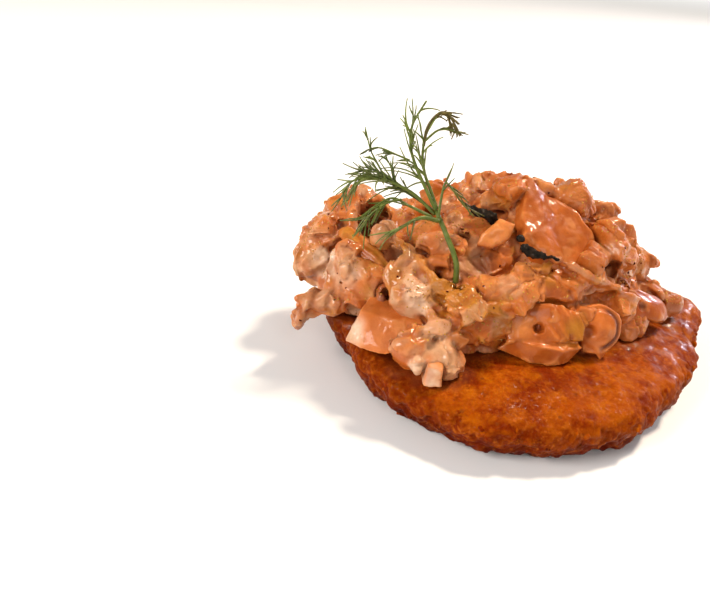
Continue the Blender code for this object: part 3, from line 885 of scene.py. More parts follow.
def gill_form():
    """The slice at the right: a round body of flesh inside a thin curved skin, over a pointed tail."""
    def bow(x, y):
        away = np.hypot(x, y)
        return 0.35 - 0.03 * away * away - 0.8 * np.exp(-((away - GILL_LINE[0]) / 0.4) ** 2)
    arc = []
    for step in range(GILL_ARC_STEPS + 1):
        angle = math.radians(between(GILL_ARC, step / GILL_ARC_STEPS))
        arc.append((GILL_SKIN_RADIUS * math.cos(angle), GILL_SKIN_RADIUS * math.sin(angle)))
    skin = sheet_of(arc, 2.4, bow, GILL_MIDDLE, GILL_TURN)
    body = laid(ball(3), GILL_MIDDLE, turn_by(GILL_TURN) @ Matrix.Diagonal(GILL_BODY_RADII))
    return joined(skin, body, hull_of(TAIL_CORNERS))


def flap_form():
    """A thin brim that arches along its length, with a curled far edge."""
    def bow(x, y):
        return 0.9 - 0.03 * x * x - 0.06 * y * y + 0.5 * smooth_step(1.8, 3.4, y)
    return sheet_of(FLAP_OUTLINE, 1.9, bow, (21.7, -10.6, 18.0), (38.8, 13.0, 16.9))


def onion_form():
    """A limp strip with three veins along it."""
    def bow(x, y):
        return 0.8 - 0.022 * x * x + 0.16 * np.cos(y * 4.2) - 0.08 * y * y
    return sheet_of(ONION_OUTLINE, 1.9, bow, (-42.2, -11.2, 26.7), (37.9, 12.0, -48.4))


def shard_form():
    return sheet_of(SHARD_OUTLINE, 3.0, lambda x, y: 0.05 * y, (-15.3, -14.5, 34.0), (50, -28, 10))


def left_strip_form():
    def bow(x, y):
        return 0.25 * np.sin(1.7 * x) - 0.30 * y * y + 0.3
    return sheet_of(LEFT_STRIP_OUTLINE, 0.9, bow, (-17.6, -10.9, 36.8), (44.9, 16.0, -12.3))


def right_strip_form():
    def bow(x, y):
        return 0.2 * np.sin(1.9 * x + 1) - 0.35 * y * y + 0.3
    return sheet_of(RIGHT_STRIP_OUTLINE, 0.9, bow, (-7.2, -19.3, 32.6), (50.4, 14.0, -4.0))


# Node, slot, form, its two tints, relief, rounds of smoothing
LARGE_PIECES = (
    ("mushroom_chunk", "pale_mushroom", lambda: hull_of(CHUNK_CORNERS), PINK_BEIGE, BEIGE, 0.04, 1),
    ("front_slice", "pale_mushroom", slice_form, BEIGE, TAN, 0.10, 2),
    ("gilled_slice", "mushroom", gill_form, BEIGE, PINK_BEIGE, 0.10, 3),
    ("brim_flap", "mushroom", flap_form, RUST, TAN, 0.10, 4),
    ("top_slab", "mushroom", slab_form, TAN, BEIGE, 0.04, 5),
    ("onion_strip", "onion", onion_form, GOLD_ONION, TAN, 0.07, 3),
    ("pale_shard", "pale_mushroom", shard_form, PALE_BEIGE, PINK_BEIGE, 0.06, 2),
    ("dark_strip_left", "dark_mushroom", left_strip_form, BLACK_GREEN, BLACK_GREEN, 0.5, 1),
    ("dark_strip_right", "dark_mushroom", right_strip_form, BLACK_GREEN, BLACK_GREEN, 0.5, 1),
    ("pale_cube", "pale_mushroom", lambda: hull_of(CUBE_CORNERS), CREAM_AND_HIGHLIGHT, WHITE_CREAM, 0.05, 1),
)
# Marks on the larger pieces: node, middle, radius, depth (at 0 it only tints), tint. A dent's tint is painted
# shade in it.
MARKS = (
    ("mushroom_chunk", (-43.3, -26.8, 15.5), 3.2, 0.0, WHITE_CREAM),
    ("mushroom_chunk", (-38.0, -28.5, 16.5), 3.4, 0.0, PINK_BEIGE),
    ("front_slice", (-5.3, -26.0, 19.2), 0.95, 1.6, RUST),
    ("front_slice", (2.6, -25.2, 18.8), 3.0, 0.0, GOLD_ONION),
    # Painted light: the pale tint lightens the cut face, which lies in shade.
    ("front_slice", (-9.0, -25.8, 18.6), 2.6, 0.0, PALE_BEIGE),
    ("front_slice", (1.4, -26.0, 17.6), 0.9, 0.5, RUST),
    ("gilled_slice", (5.7, -24.2, 18.4), 1.4, 0.9, TAN),
    ("front_slice", (-11.8, -26.2, 18.5), 0.9, 0.8, RUST),
    ("brim_flap", (20.5, -12.5, 19.0), 1.0, 0.8, JUICE_AND_SHADE),
    ("top_slab", (-6.0, -10.0, 36.0), 1.2, 0.8, RUST),
)
# The size, strength and place of the noise that makes the larger pieces waver
WARP = (4.5, 0.55, 101.0)


def dented(name, points, normals):
    """The points with a piece's marks pressed in, and each mark's tint with its share at each point; in a
    dent the tint is painted shade.
    """
    tints_and_dent_shade = []
    for owner, middle, radius, depth, tint in MARKS:
        if owner == name:
            share = np.exp(-(distance_from(middle, points) / radius) ** 4)
            points = displaced(points, normals, -share * depth)
            tints_and_dent_shade.append((tint, share))
    return points, tints_and_dent_shade


def gill_line(points):
    """How deep each point lies in the dark gills between the body and the skin, along the far side."""
    radius, width = GILL_LINE
    local = (points - np.array(in_frame(GILL_MIDDLE))) @ np.array(turn_by(GILL_TURN)) / MM
    away = np.abs(np.hypot(local[:, 0], local[:, 1]) - radius) / width
    angle = np.degrees(np.arctan2(local[:, 1], local[:, 0]))
    along = smooth_step(-75, -50, angle) * smooth_step(95, 70, angle) * (local[:, 2] > -0.5)
    return np.exp(-away * away) * along


def flesh_colours(points, quads, normals, colours, smear):
    """Paler edges as a painted highlight, creases darkened as painted shade, browner stains, and cream where
    it is smeared on.
    """
    bulge = bulge_at(points, quads, normals, 6)
    return layered(
        colours,
        # Painted highlight on raised edges and painted shade in creases.
        (PALE_BEIGE, 0.7 * smooth_step(0.02, 0.14, bulge)),
        (RUST, 0.5 * smooth_step(-0.02, -0.14, bulge)),
        (TAN, 0.45 * smooth_step(0.15, 0.55, noise_at(points, 2.6, 15.0))),
        (CREAM_AND_HIGHLIGHT, 0.55 * smear),
    )


def make_large_piece(name, slot, form, tint, other_tint, relief, rounds, material):
    is_skin = slot == "dark_mushroom"
    points, quads = remeshed(*form(), PIECE_VOXEL)
    points = pushed(smoothed(points, quads, rounds), *WARP)
    spread = noise_at(points, 4.0, 44.0) + 0.35 * noise_at(points, 1.3, 45.0)
    smear = smooth_step(0.2 if slot == "pale_mushroom" else 0.05, 0.5, spread)
    if is_skin:
        heights = relief * (noise_at(points, 1.3, 4.0) + 0.6 * noise_at(points, 0.6, 6.0))
    else:
        heights = relief * (noise_at(points, 3.2, 4.0) + 0.35 * noise_at(points, 1.0, 6.0))
        heights += smear * (0.15 + 0.04 * noise_at(points, 2.2, 47.0))
    points = displaced(points, normals_of(points, quads), heights)
    normals = normals_of(points, quads)
    share = smooth_step(-0.3, 0.4, noise_at(points, 3.5, 12.0) - 0.5 * normals[:, 2] + 0.2)
    colours = layered(tint, (other_tint, share))
    if not is_skin:
        colours = flesh_colours(points, quads, normals, colours, smear)
    points, tints_and_dent_shade = dented(name, points, normals)
    colours = layered(colours, *tints_and_dent_shade)
    if name == "gilled_slice":
        colours = layered(colours, (MAROON, 0.92 * gill_line(points)))
    add_piece(name + "_piece", name, (points, quads), material, colours, 0.15 + 0.75 * smear)


def make_large_pieces():
    flesh = wet_material("mushroom_flesh", gloss=0.7, glow=0.14, lumps=0.25)
    skin = dark_material("dark_mushroom_skin")
    for row in LARGE_PIECES:
        make_large_piece(*row, skin if row[1] == "dark_mushroom" else flesh)


# Topping. Small pieces strewn over it: kind, count, length, width and height as shares of it, tints
STREWN_KINDS = (
    ("chunk", 95, (6.0, 11.0), (0.6, 0.95), (0.5, 0.85), (BEIGE, PINK_BEIGE, CREAM_AND_HIGHLIGHT, PALE_BEIGE, TAN)),
    ("chip", 40, (5.0, 8.5), (0.5, 0.85), (0.24, 0.4), (PALE_BEIGE, BEIGE, PINK_BEIGE)),
    ("strip", 26, (9.0, 15.0), (0.24, 0.38), (0.15, 0.22), (GOLD_ONION, GOLD_ONION, BEIGE)),
    ("blob", 30, (4.5, 8.0), (0.7, 1.0), (0.5, 0.9), (CREAM_AND_HIGHLIGHT, CREAM_AND_HIGHLIGHT, GREY_CREAM)),
    ("slice", 60, (9.0, 14.0), (0.75, 1.0), (0.2, 0.3), (BEIGE, PALE_BEIGE, TAN)),
    ("chunk", 240, (1.8, 3.6), (0.6, 0.95), (0.4, 0.8), (CREAM_AND_HIGHLIGHT, PALE_BEIGE, BEIGE, TAN, GOLD_ONION)),
)
# How they lie: tilt (degrees), how deep their middle is and how far they stay off larger pieces (shares of
# their height and length), and how far they stand out
STREWN_TILT = 32
STREWN_DEPTHS = (0.05, 0.30)
CLEAR_SHARE = 0.32
STANDS_PROUD = 1.5
# A place on the far shoulder that stays bare, so that the heap's outline dips there
BARE_MIDDLE = (6.7, 13.2, 35.5)
BARE_RADIUS = 1.5
# Pieces laid where the photographed ones show best: kind, middle, size, turn (degrees), tint
LAID_PIECES = (
    ("strip", (-22, -26.5, 25), (13, 5.5, 3), (50, 10, -35), GOLD_ONION),
    ("strip", (-17, -27, 22.5), (11, 5, 3), (55, 0, 20), GOLD_ONION),
    ("slice", (-32, -21, 26), (12, 10, 3), (48, -12, 20), BEIGE),
    ("slice", (-26, -17, 31), (11, 9, 3), (35, -8, -20), PINK_BEIGE),
    ("blob", (-38, -13, 31), (6, 5, 8), (15, 10, 0), GREY_CREAM),
    ("slice", (16, -3, 29), (15, 12, 4), (30, 38, 10), BEIGE),
    ("chip", (-14, -5, 38), (11, 7, 3), (35, -5, 0), PALE_BEIGE),
    ("chunk", (12.5, -8.5, 29.5), (11, 9, 9), (30, 20, 40), TAN),
    ("chunk", (8.5, -9.0, 33.0), (9, 7, 9), (20, 35, 10), BEIGE),
    ("chunk", (7.0, -14.0, 29.5), (9, 7, 8), (10, 30, 70), TAN),
    ("chunk", (6.5, -2.0, 37.5), (9, 8, 7), (0, 10, 30), BEIGE),
    ("blob", (-46, -11, 25), (7, 6, 8), (10, 20, 0), WHITE_CREAM),
    ("chip", (-25.0, -33, 16), (8, 6, 4), (50, 10, 60), GREY_CREAM),
    ("chip", (-26.5, -30, 19.5), (8, 5, 4), (60, 30, 50), WHITE_CREAM),
    ("blob", (-30.0, -36.0, 14.3), (3.0, 2.6, 4.2), (0, 0, 20), WHITE_CREAM),
    ("chip", (-23.4, -35.6, 13.8), (4.5, 4, 4.5), (40, 10, 0), CREAM_AND_HIGHLIGHT),
    ("chunk", (-11.4, -5.0, 41.0), (9, 8, 8), (20, 15, 10), BEIGE),
    ("blob", (2.8, -1.0, 38.9), (9.6, 8, 8), (0, 15, 20), TAN),
    ("chunk", (15.5, -4.5, 24.2), (8, 6, 5), (20, 10, 30), TAN),
)
# Blocks laid by their corners: corners, tint
LAID_BLOCKS = (
    (((-10.9, -19.6, 31.8), (-5.2, -21.2, 28.4), (-13.9, -23.6, 27.2), (-12.2, -25.2, 23.6),
      (-4.6, -23.8, 24), (-9.4, -23.6, 27.4), (-10, -16, 26), (-4, -17, 24), (-13, -18, 25)), PALE_BEIGE),
    (((-3.4, -17.8, 31.2), (5, -17.8, 27.4), (12, -16, 24), (-2.4, -20.4, 26), (4, -19.8, 24), (-3, -14, 27),
      (6, -13, 25), (11, -12, 22)), RUST),
    (((1.2, -22.6, 22.4), (6.8, -21.8, 22.6), (2.6, -24.6, 19.8), (5.4, -24.2, 20.4), (3.0, -24.8, 16.6),
      (1, -19, 22), (7, -18, 22), (2, -20, 16)), TAN),
)
# Folds laid along a route: route, radii at its start and end, tint
LAID_FOLDS = (
    (((-4.4, -18.6, 31.8), (0.5, -18.8, 30.4), (5, -18.6, 28.0), (10, -17, 25.8), (14.2, -15.6, 23.8),
      (19, -13.6, 21.2)), (1.0, 0.8), TAN),
    (((-35.5, -18.5, 27.3), (-33, -22, 26.0), (-30, -26, 23.4), (-27.5, -29.0, 20.6)),
     (1.8, 1.5), WHITE_CREAM),
    (((-39, -10.5, 30.5), (-36, -14, 30.5), (-32.5, -17.5, 30), (-30, -21, 28.2), (-27.5, -23.5, 27)),
     (1.3, 1.2), GOLD_ONION),
)
FOLD_STEPS = 20
FOLD_SIDES = 10
FOLD_UNEVENNESS = 0.9
FOLD_LUMP = 2.2
# Dabs of colour: middle, radius, strength, tint. The juice dabs over two deep hollows and the lavender dab
# are painted shade.
DABS = (
    ((-31, -25.5, 24), 4.5, 0.75, WHITE_CREAM),
    ((-27.5, -31.5, 18), 3.5, 0.7, GREY_CREAM),
    ((-25, -34.5, 15), 4.5, 0.65, GREY_CREAM),
    ((-19, -32, 16), 3.5, 0.5, PINK_BEIGE),
    ((-30.2, -36.0, 14.3), 1.8, 0.9, WHITE_CREAM),
    ((-48.5, -10, 22), 5.5, 0.85, WHITE_CREAM),
    ((-44, -14, 22), 5.0, 0.35, WHITE_CREAM),
    ((-45, -20, 18), 4.0, 0.5, BEIGE),
    # Painted shade over two deep hollows, and in a third.
    ((-40, 3, 28), 4.0, 0.9, JUICE_AND_SHADE),
    ((-28.5, -18.5, 26), 3.0, 0.8, JUICE_AND_SHADE),
    ((-39, -24, 20), 3.6, 0.7, LAVENDER_SHADE),
    ((-33.6, -16.0, 29), 1.7, 0.85, MAROON),
    ((-25, -25.5, 26), 4.2, 0.75, GOLD_ONION),
    ((-17, -19, 30.5), 3.6, 0.6, MAROON),
    ((-2, -21.5, 24), 3.2, 0.5, RUST),
    ((-14, -26, 18), 3.0, 0.5, GOLD_ONION),
    ((16, -6, 28), 6.0, 0.5, PALE_BEIGE),
    ((33, -2, 15.5), 5.5, 0.85, TAN),
)
# Deep hollows between the pieces: middle, radius, depth
HOLLOWS = (
    ((-40, 3, 28), 3.2, 4.2),
    ((-32, -15.5, 26.5), 2.0, 2.2),
    ((-28.5, -18.5, 25), 2.4, 3.0),
    ((-37, -19.5, 21), 2.4, 1.8),
    ((-5, -24, 19), 1.3, 2.5),
    ((-17, -20, 30), 1.1, 2.2),
    ((-23, -24, 26.5), 1.6, 2.0),
    ((-21.5, -12, 33.5), 2.2, 3.0),
    ((17, -9, 23), 1.6, 1.2),
)
# How deep the larger pieces sink into the cream, where it ends below, and how its painted shade is measured
SUNK_BY = 0.35
TOPPING_FLOOR = 8.0
SHADE_REACH = 8.0
SHADE_RAYS = 16


def sink_large_pieces(pile):
    """The larger pieces a little thinner, so that the cream closes round them and creeps over in places."""
    for name, slot, form, tint, *_ in LARGE_PIECES:
        if slot != "dark_mushroom":
            points, quads = remeshed(*form(), 2 * PIECE_VOXEL)
            normals = normals_of(points, quads)
            points = pushed(points - normals * (SUNK_BY * MM), *WARP)
            pile.add((dented(name, points, normals)[0], quads.tolist()), tint)


def pulled_in(arrays, heap, normal):
    """A piece moved back along a normal, so that it doesn't stand out of the heap too far."""
    points, faces = arrays
    proud = 0.0
    for point in points.tolist():
        nearest, outward, _, _ = heap.find_nearest(point)
        proud = max(proud, (Vector(point) - nearest).dot(outward))
    return points - np.array(normal) * max(0.0, proud - STANDS_PROUD * MM), faces


def strew_pieces(pile, mesh, draw):
    trees = [tree_of(row[0]) for row in LARGE_PIECES]
    heap = tree_of("mushroom_topping")
    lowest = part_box("pancake")[1].z + 0.5 * MM
    for kind, count, lengths, widths, heights, tints in STREWN_KINDS:
        for spot, normal in surface_spots(mesh, draw, count, lowest):
            length = draw.uniform(*lengths) * MM
            size = (length, length * draw.uniform(*widths), length * draw.uniform(*heights))
            tilt = turn_by((draw.gauss(0, STREWN_TILT), draw.gauss(0, STREWN_TILT), draw.uniform(0, 360)))
            shape = SHAPES[kind](draw)
            tint = draw.choice(tints)
            if min(tree.find_nearest(spot)[3] for tree in trees) < CLEAR_SHARE * length:
                continue
            middle = spot - normal * (draw.uniform(*STREWN_DEPTHS) * size[2])
            if (spot - in_frame(BARE_MIDDLE)).length > BARE_RADIUS * MM:
                pile.add(pulled_in(placed(shape, middle, size, turn_to(normal) @ tilt), heap, normal), tint)


def lay_pieces(pile, draw):
    for kind, middle, size, turn, tint in LAID_PIECES:
        pile.add(placed(SHAPES[kind](draw), in_frame(middle), Vector(size) * MM, turn_by(turn)), tint)
    for corners, tint in LAID_BLOCKS:
        pile.add(hull_of(corners), tint)
    for places, ends, tint in LAID_FOLDS:
        route = smooth_route([in_frame(place) for place in places], FOLD_STEPS)
        radii = []
        for step, spot in enumerate(route):
            uneven = 1.0 + FOLD_UNEVENNESS * noise.noise(spot / (FOLD_LUMP * MM))
            radii.append(between(ends, step / FOLD_STEPS) * uneven * MM)
        pile.add(tube(route, radii, FOLD_SIDES), tint)


def piece_tints(pile, points):
    """The tint of the nearest source face for each point."""
    source_points, source_faces = pile.arrays()
    tree = BVHTree.FromPolygons(source_points.tolist(), source_faces)
    return np.array([pile.tints[tree.find_nearest(point)[2]] for point in points.tolist()])


def broken_surface(points, quads):
    """Smooth cream in places, and cut and torn mushroom in others; and how creamy each point is."""
    across = (points[:, 0] - MIDDLE.x) / MM
    sides = 0.50 * smooth_step(-22, -42, across) + 0.30 * smooth_step(6, 20, across)
    torn = smoothed(points, quads, 1)
    creamy = smooth_step(0.0, 0.5, noise_at(points, 8.0, 31.0) + sides)
    points = layered(torn, (smoothed(points, quads, 10), creamy))
    bent = pushed(points, 3.0, 1.0, 3.0)
    heights = (1.0 - 0.7 * creamy) * 0.25 * facets_at(bent, 4.0) - 0.6 * creases_at(bent, 9.0, 1.6)
    heights += 0.14 * noise_at(points, 3.2, 1.0) + 0.09 * noise_at(points, 1.3, 2.0)
    heights += 0.05 * noise_at(points, 0.7, 7.0)
    return displaced(points, normals_of(points, quads), heights), creamy


def sink_hollows(points, normals):
    for middle, radius, depth in HOLLOWS:
        away = distance_from(middle, points) / radius
        points = displaced(points, normals, -np.exp(-away * away) * depth)
    return points


def topping_colours(points, quads, normals, tints, creamy, free):
    across = (points[:, 0] - MIDDLE.x) / MM
    bulge = bulge_at(points, quads, normals, 5)
    grey_side = smooth_step(-20, -42, across + 6 * noise_at(points, 6.0, 3.0))
    grey_side *= smooth_step(31, 25, points[:, 2] / MM)
    patch = smooth_step(-0.25, 0.3, noise_at(points, 6.0, 40.0))
    warm_side = smooth_step(-8, 22, across + 8 * noise_at(points, 9.0, 5.0))
    colours = layered(
        tints,
        (CREAM_AND_HIGHLIGHT, 0.5 * creamy),
        (GREY_CREAM, 0.65 * grey_side * patch),
        (GREY_CREAM, 0.5 * smooth_step(0.05, 0.4, noise_at(points, 5.0, 140.0))),
        (PALE_BEIGE, 0.2 * warm_side),
        (TAN, 0.5 * smooth_step(0.0, 0.5, noise_at(points, 5.0, 50.0))),
        (GOLD_ONION, 0.6 * smooth_step(0.25, 0.5, noise_at(points, 4.5, 90.0))),
        (RUST, 0.35 * smooth_step(0.1, 0.5, noise_at(points, 2.2, 60.0))),
        # Painted highlight on raised edges, and painted shade in creases.
        (CREAM_AND_HIGHLIGHT, 0.55 * smooth_step(0.04, 0.22, bulge)),
        (RUST, 0.55 * smooth_step(-0.04, -0.22, bulge)),
    )
    uneven = 0.45 * noise_at(points, 2.4, 150.0)
    for middle, radius, strength, tint in DABS:
        away = distance_from(middle, points) / radius + uneven
        colours = layered(colours, (tint, strength * smooth_step(1.15, 0.65, away)))
    # Painted shade: points with little open space before them, in the gaps between pieces, darken towards
    # juice brown.
    shade = smooth_step(0.60, 0.10, free) * smooth_step(-60, -15, across)
    return layered(colours, (JUICE_AND_SHADE, 0.65 * shade))


def make_topping(draw):
    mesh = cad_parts["mushroom_topping"].data
    pile = Pile()
    pile.add(arrays_of(mesh), BEIGE)
    sink_large_pieces(pile)
    strew_pieces(pile, mesh, draw)
    lay_pieces(pile, draw)
    points, quads = remeshed(*pile.arrays(), TOPPING_VOXEL)
    tints = averaged(piece_tints(pile, points), quads, 2)
    points, creamy = broken_surface(points, quads)
    points = sink_hollows(points, normals_of(points, quads))
    points[:, 2] = np.maximum(points[:, 2], TOPPING_FLOOR * MM)
    normals = normals_of(points, quads)
    free = openness(points, quads, normals, SHADE_REACH, SHADE_RAYS, draw).reshape(-1, 1)
    free = averaged(free, quads)[:, 0]
    colours = topping_colours(points, quads, normals, tints, creamy, free)
    material = wet_material("mushroom_cream", gloss=0.95, glow=0.10, lumps=1.0)
    return add_piece("creamed_mushrooms", "mushroom_topping",
                     (points, quads), material, colours, creamy)


# Small things strewn over the finished topping and the pancake's rim
BEAD_COUNT = 9000
BEAD_RADII = (0.09, 0.25)
BEAD_PATCH = 6.0
BEAD_FORM = Vector((2.0, 2.0, 1.2))
BEADS_FACE_UP = 0.1
FLECK_COUNT = 150
FLECK_LENGTHS = (0.35, 1.0)
FLECK_WIDTHS = (0.4, 0.9)
FLECK_THICKNESS = 0.3
FLECK_TILT = 12
FLECK_TINTS = (CRUST_AND_SHADE, DILL_BROWN, MAROON, CRUST_AND_SHADE, RUST, RUST, MAROON)
DARK_BIT_PLACE = (-10.8, -17.9, 35.1)
DARK_BIT_SIZE = (2.4, 1.92, 0.96)
DARK_BIT_TURN = (50, 10, 40)
CRUMB_COUNT = 260
CRUMB_LENGTHS = (0.7, 1.9)
CRUMB_WIDTHS = (0.5, 0.9)
CRUMB_HEIGHTS = (0.3, 0.6)
CRUMB_DEPTH = 0.15
LOWEST_CRUMB = 1.5
CRUMBS_FACE_OUT = 0.75
LOW_CRUMBS_UNDER = 6.0
# Low crumbs take the low rim's dark tint: browned crust with painted shade.
LOW_CRUMB_TINTS = (CRUST_AND_SHADE, CRUST_AND_SHADE, TAWNY)
HIGH_CRUMB_TINTS = (TAWNY, TAWNY, GOLDEN)


def make_beads(topping, draw):
    """Tiny drops of golden oil, in patches on the topping."""
    drop = ball(1)
    pile = Pile()
    for spot, normal in surface_spots(topping.data, draw, BEAD_COUNT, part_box("pancake")[1].z):
        radius = draw.uniform(*BEAD_RADII) * MM
        if noise.noise(spot / (BEAD_PATCH * MM)) >= 0.0 and normal.z >= BEADS_FACE_UP:
            pile.add(placed(drop, spot, BEAD_FORM * radius, turn_to(normal)), OIL)
    add_pile("oil_beads", None, pile, oil_material("golden_oil"))


def make_flecks(topping, draw):
    """Flakes of pepper and herb on the topping, and one black scrap by the pale shard."""
    pile = Pile()
    for spot, normal in surface_spots(topping.data, draw, FLECK_COUNT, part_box("pancake")[1].z):
        length = draw.uniform(*FLECK_LENGTHS) * MM
        size = (length, length * draw.uniform(*FLECK_WIDTHS), FLECK_THICKNESS * MM)
        turn = turn_to(normal) @ turn_by((draw.gauss(0, FLECK_TILT), 0, draw.uniform(0, 360)))
        tint = draw.choice(FLECK_TINTS)
        pile.add(placed(unit_chip(draw), spot, size, turn), tint)
    size = Vector(DARK_BIT_SIZE) * MM
    pile.add(placed(unit_chip(draw), in_frame(DARK_BIT_PLACE), size, turn_by(DARK_BIT_TURN)), BLACK_GREEN)
    add_pile("herb_flecks", None, pile, dark_material("herb_fleck"))


def make_crumbs(pancake, draw):
    """Crisp crumbs of batter that stick out along the rim."""
    pile = Pile()
    for spot, normal in surface_spots(pancake.data, draw, 4 * CRUMB_COUNT, LOWEST_CRUMB * MM):
        if normal.z > CRUMBS_FACE_OUT or len(pile.points) >= CRUMB_COUNT:
            continue
        length = draw.uniform(*CRUMB_LENGTHS) * MM
        size = (length, length * draw.uniform(*CRUMB_WIDTHS), length * draw.uniform(*CRUMB_HEIGHTS))
        turn = turn_to(normal) @ turn_by((0, 0, draw.uniform(0, 360)))
        tint = draw.choice(LOW_CRUMB_TINTS if spot.z < LOW_CRUMBS_UNDER * MM else HIGH_CRUMB_TINTS)
        pile.add(placed(unit_blob(draw), spot - normal * CRUMB_DEPTH * length, size, turn), tint)
    add_pile("crisp_crumbs", None, pile, fried_material("fried_crumb"))


# Dill. Each stem's points, radii at its root and tip, number of threads, their length, and tints
DILL_STEMS = {
    "stem": (
        ((-22.8, -21.2, 25.5), (-23.4, -20.7, 30), (-25.8, -18, 34.5), (-28, -14.8, 38)),
        (0.62, 0.50), 0, 0, (DILL_GREEN, DILL_GREEN)),
    "mast": (
        ((-28, -14.8, 38), (-30.5, -13.5, 42), (-33, -12, 46), (-34.6, -11, 50), (-34.6, -10, 54),
         (-32.4, -9, 58.5)),
        (0.42, 0.20), 9, 6.5, (DILL_GREEN, DILL_GREEN)),
    "second_mast": (
        ((-28, -14.5, 38.5), (-29.7, -13, 42), (-31.2, -12, 45), (-32, -11, 48.5), (-31.9, -10, 53)),
        (0.40, 0.22), 9, 7.0, (DILL_GREEN, DILL_GREEN)),
    "plume": (
        ((-32, -10.5, 50), (-31.5, -10, 54), (-29.5, -9.5, 56.5), (-27.5, -9.7, 56), (-25, -10.3, 52.5)),
        (0.34, 0.20), 14, 3.4, (DILL_BROWN, DILL_BROWN)),
    "low_plume": (
        ((-31.9, -10.5, 51), (-29.5, -10, 53.2), (-27, -10, 53.5), (-25.2, -10.2, 52.8)),
        (0.26, 0.15), 5, 2.8, (DILL_GREEN, DILL_BROWN)),
    "left_branch": (
        ((-28.3, -15, 37.5), (-33, -13.7, 41), (-37.5, -13.2, 42.8), (-41.5, -13, 43.5), (-45.5, -13.3, 42.5),
         (-47.3, -14, 40)),
        (0.38, 0.16), 20, 6.0, (DILL_GREEN, DILL_PALE)),
    "upper_branch": (
        ((-28.8, -14, 38), (-32, -13.2, 39.8), (-36.7, -12.5, 42), (-41, -12, 44.7), (-45.2, -12.8, 44.2)),
        (0.34, 0.16), 18, 5.5, (DILL_DARK, DILL_PALE)),
    "low_branch": (
        ((-29, -16.8, 37.6), (-33.7, -16.2, 39.3), (-37.2, -15.8, 40.5), (-40.2, -16.4, 39),
         (-44.3, -17.4, 35.6)),
        (0.34, 0.14), 7, 6.0, (DILL_GREEN, DILL_GREEN)),
    "lower_branch": (
        ((-35.5, -16.2, 40.5), (-38.3, -17.1, 39.9), (-41.2, -17.7, 37.6), (-44.1, -19, 33.4)),
        (0.28, 0.12), 3, 5.0, (DILL_GREEN, DILL_PALE)),
    "broad_leaf": (
        ((-27.6, -17, 37), (-31.5, -19.3, 38.2), (-35, -20.2, 36.3), (-37.2, -20.7, 34.4)),
        (0.50, 0.22), 3, 5.5, (DILL_GREEN, DILL_PALE)),
    "right_branch": (
        ((-27.6, -16, 36.8), (-27.5, -14.9, 40.6), (-27, -13.9, 43.8), (-25.5, -14.2, 42.9),
         (-23.5, -14.8, 40.7), (-20.5, -15.6, 38)),
        (0.30, 0.14), 6, 5.0, (DILL_GREEN, DILL_BROWN)),
    "arch": (
        ((-34.4, -11, 47), (-37, -10.7, 47.8), (-41, -10.4, 48.9), (-43.9, -10.7, 47.8)),
        (0.22, 0.12), 4, 3.0, (DILL_GREEN, DILL_DARK)),
    "left_spire": (
        ((-38.5, -12.8, 42.8), (-41, -10.8, 46), (-42.5, -10, 48.3), (-43.8, -9, 52)),
        (0.24, 0.12), 3, 4.0, (DILL_GREEN, DILL_GREEN)),
    "middle_spire": (
        ((-36.5, -12.9, 42), (-37.8, -11.6, 45), (-39.5, -10.8, 47.6)),
        (0.24, 0.12), 3, 3.5, (DILL_GREEN, DILL_DARK)),
}
STEM_STEPS = 24
STEM_SIDES = 7
THREAD_STEPS = 7
THREAD_SIDES = 5
THREAD_RADII = (0.21, 0.10)
THREAD_SPAN = (0.28, 0.96)
THREAD_LENGTHS = (0.5, 1.0)
THREAD_TAPER = (1.3, 0.6)
THREAD_SPREAD = (1, 0.55, 1)
THREAD_LEAN = (8, 34)
THREAD_BEND = (-0.35, 0.50)
THREAD_DROOP = (-0.15, 0.5)
THREAD_SHADES = (0.65, 1.35)
LENGTHEN = 1.32
FORKS = (0.25, 0.5)
FORK_CHANCE = 0.7
FORK_SHARE = 0.65


def grow_thread(pile, route, share, length, tint, draw):
    """A fine thread, its length in metres, that leaves a route at a narrow angle, bends and droops."""
    index = min(int(share * (len(route) - 1)), len(route) - 2)
    ahead = (route[index + 1] - route[index]).normalized()
    side = Vector([draw.gauss(0, spread) for spread in THREAD_SPREAD])
    side = (side - ahead * side.dot(ahead)).normalized()
    lean = math.radians(draw.uniform(*THREAD_LEAN))
    heading = ahead * math.cos(lean) + side * math.sin(lean)
    bend = side * draw.uniform(*THREAD_BEND) - Vector((0, 0, 1)) * draw.uniform(*THREAD_DROOP)
    path = []
    radii = []
    for step in range(THREAD_STEPS + 1):
        along = step / THREAD_STEPS
        path.append(route[index] + (heading * along + bend * (along * along)) * length)
        radii.append(between(THREAD_RADII, along) * MM)
    pile.add(tube(path, radii, THREAD_SIDES), tint)
    return path


def make_dill(draw):
    pile = Pile()
    for places, ends, threads, length, tints in DILL_STEMS.values():
        route = smooth_route([in_frame(place) for place in places], STEM_STEPS)
        radii = [between(ends, step / STEM_STEPS) * MM for step in range(STEM_STEPS + 1)]
        pile.add(tube(route, radii, STEM_SIDES), tints[0])
        for thread in range(threads):
            share = between(THREAD_SPAN, (thread + draw.random()) / threads)
            shade = draw.uniform(*THREAD_SHADES)
            tint = tuple(shade * between(pair, share) for pair in zip(*tints))
            reach = LENGTHEN * length * MM * draw.uniform(*THREAD_LENGTHS) * between(THREAD_TAPER, share)
            path = grow_thread(pile, route, share, reach, tint, draw)
            for fork in FORKS:
                if draw.random() < FORK_CHANCE:
                    grow_thread(pile, path, fork, reach * FORK_SHARE, tint, draw)
    add_pile("dill_fronds", "dill_sprig", pile, leaf_material("dill_leaf"))


# Stage


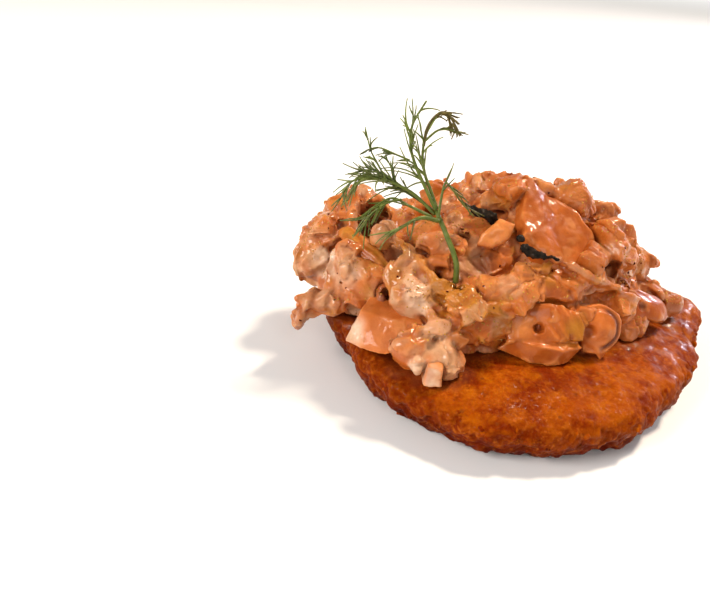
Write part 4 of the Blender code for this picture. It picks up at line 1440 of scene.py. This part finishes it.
def make_camera():
    camera = bpy.data.cameras.new("camera")
    camera.sensor_width = SENSOR_WIDTH
    camera.lens = FOCAL_PIXELS / FRAME_WIDTH * SENSOR_WIDTH
    camera.clip_start = 1 * MM
    item = bpy.data.objects.new("camera", camera)
    tilt = Matrix.Rotation(math.radians(90 - CAMERA_TILT), 4, "X")
    roll = Matrix.Rotation(math.radians(CAMERA_ROLL), 4, "Z")
    item.matrix_world = Matrix.Translation(in_frame(CAMERA_PLACE)) @ tilt @ roll
    bpy.context.scene.collection.objects.link(item)
    bpy.context.scene.camera = item


def make_lights():
    for name, place, size, power, colour in LIGHTS:
        light = bpy.data.lights.new(name, "AREA")
        light.shape = "DISK"
        light.size = size
        light.energy = power
        light.color = colour
        item = bpy.data.objects.new(name, light)
        item.location = place
        item.rotation_euler = (Vector(place) - LIGHTS_AIM).to_track_quat("Z", "Y").to_euler()
        bpy.context.scene.collection.objects.link(item)


def make_sky():
    """An even soft sky that brightens towards the horizon."""
    nodes = Nodes(bpy.data.worlds.new("studio"))
    height = nodes.add("ShaderNodeSeparateXYZ", {0: nodes.coordinates["Generated"]}).outputs["Z"]
    target = (HORIZON_STRENGTH, SKY_STRENGTH)
    strength = nodes.ranged(height, (0.0, HORIZON_REACH), target, interpolation_type="SMOOTHSTEP")
    bpy.context.scene.world = nodes.finish("Background", Color=SKY_COLOUR, Strength=strength)


def floor_material():
    """Matt and pale, and as light at the horizon as near the object."""
    nodes = Nodes(bpy.data.materials.new("floor"))
    away = nodes.add("ShaderNodeVectorMath", {0: nodes.coordinates["Object"]}, operation="LENGTH")
    glow = nodes.ranged(away.outputs["Value"], FAR_FLOOR, (0.0, FAR_FLOOR_GLOW))
    return nodes.finish(
        Base_Color=FLOOR_COLOUR,
        Roughness=0.8,
        Emission_Color=SKY_COLOUR,
        Emission_Strength=glow,
    )


def make_floor():
    half = FLOOR_SIZE / 2
    corners = [(-half, -half, 0), (half, -half, 0), (half, half, 0), (-half, half, 0)]
    make_object("floor", corners, [(0, 1, 2, 3)], floor_material())


def build():
    make_camera()
    make_lights()
    make_sky()
    make_floor()
    pancake = make_pancake()
    topping = make_topping(random.Random(TOPPING_SEED))
    make_large_pieces()
    make_dill(random.Random(DILL_SEED))
    make_beads(topping, random.Random(BEAD_SEED))
    make_flecks(topping, random.Random(FLECK_SEED))
    make_crumbs(pancake, random.Random(CRUMB_SEED))
    bpy.context.scene.view_settings.view_transform = "Standard"


build()
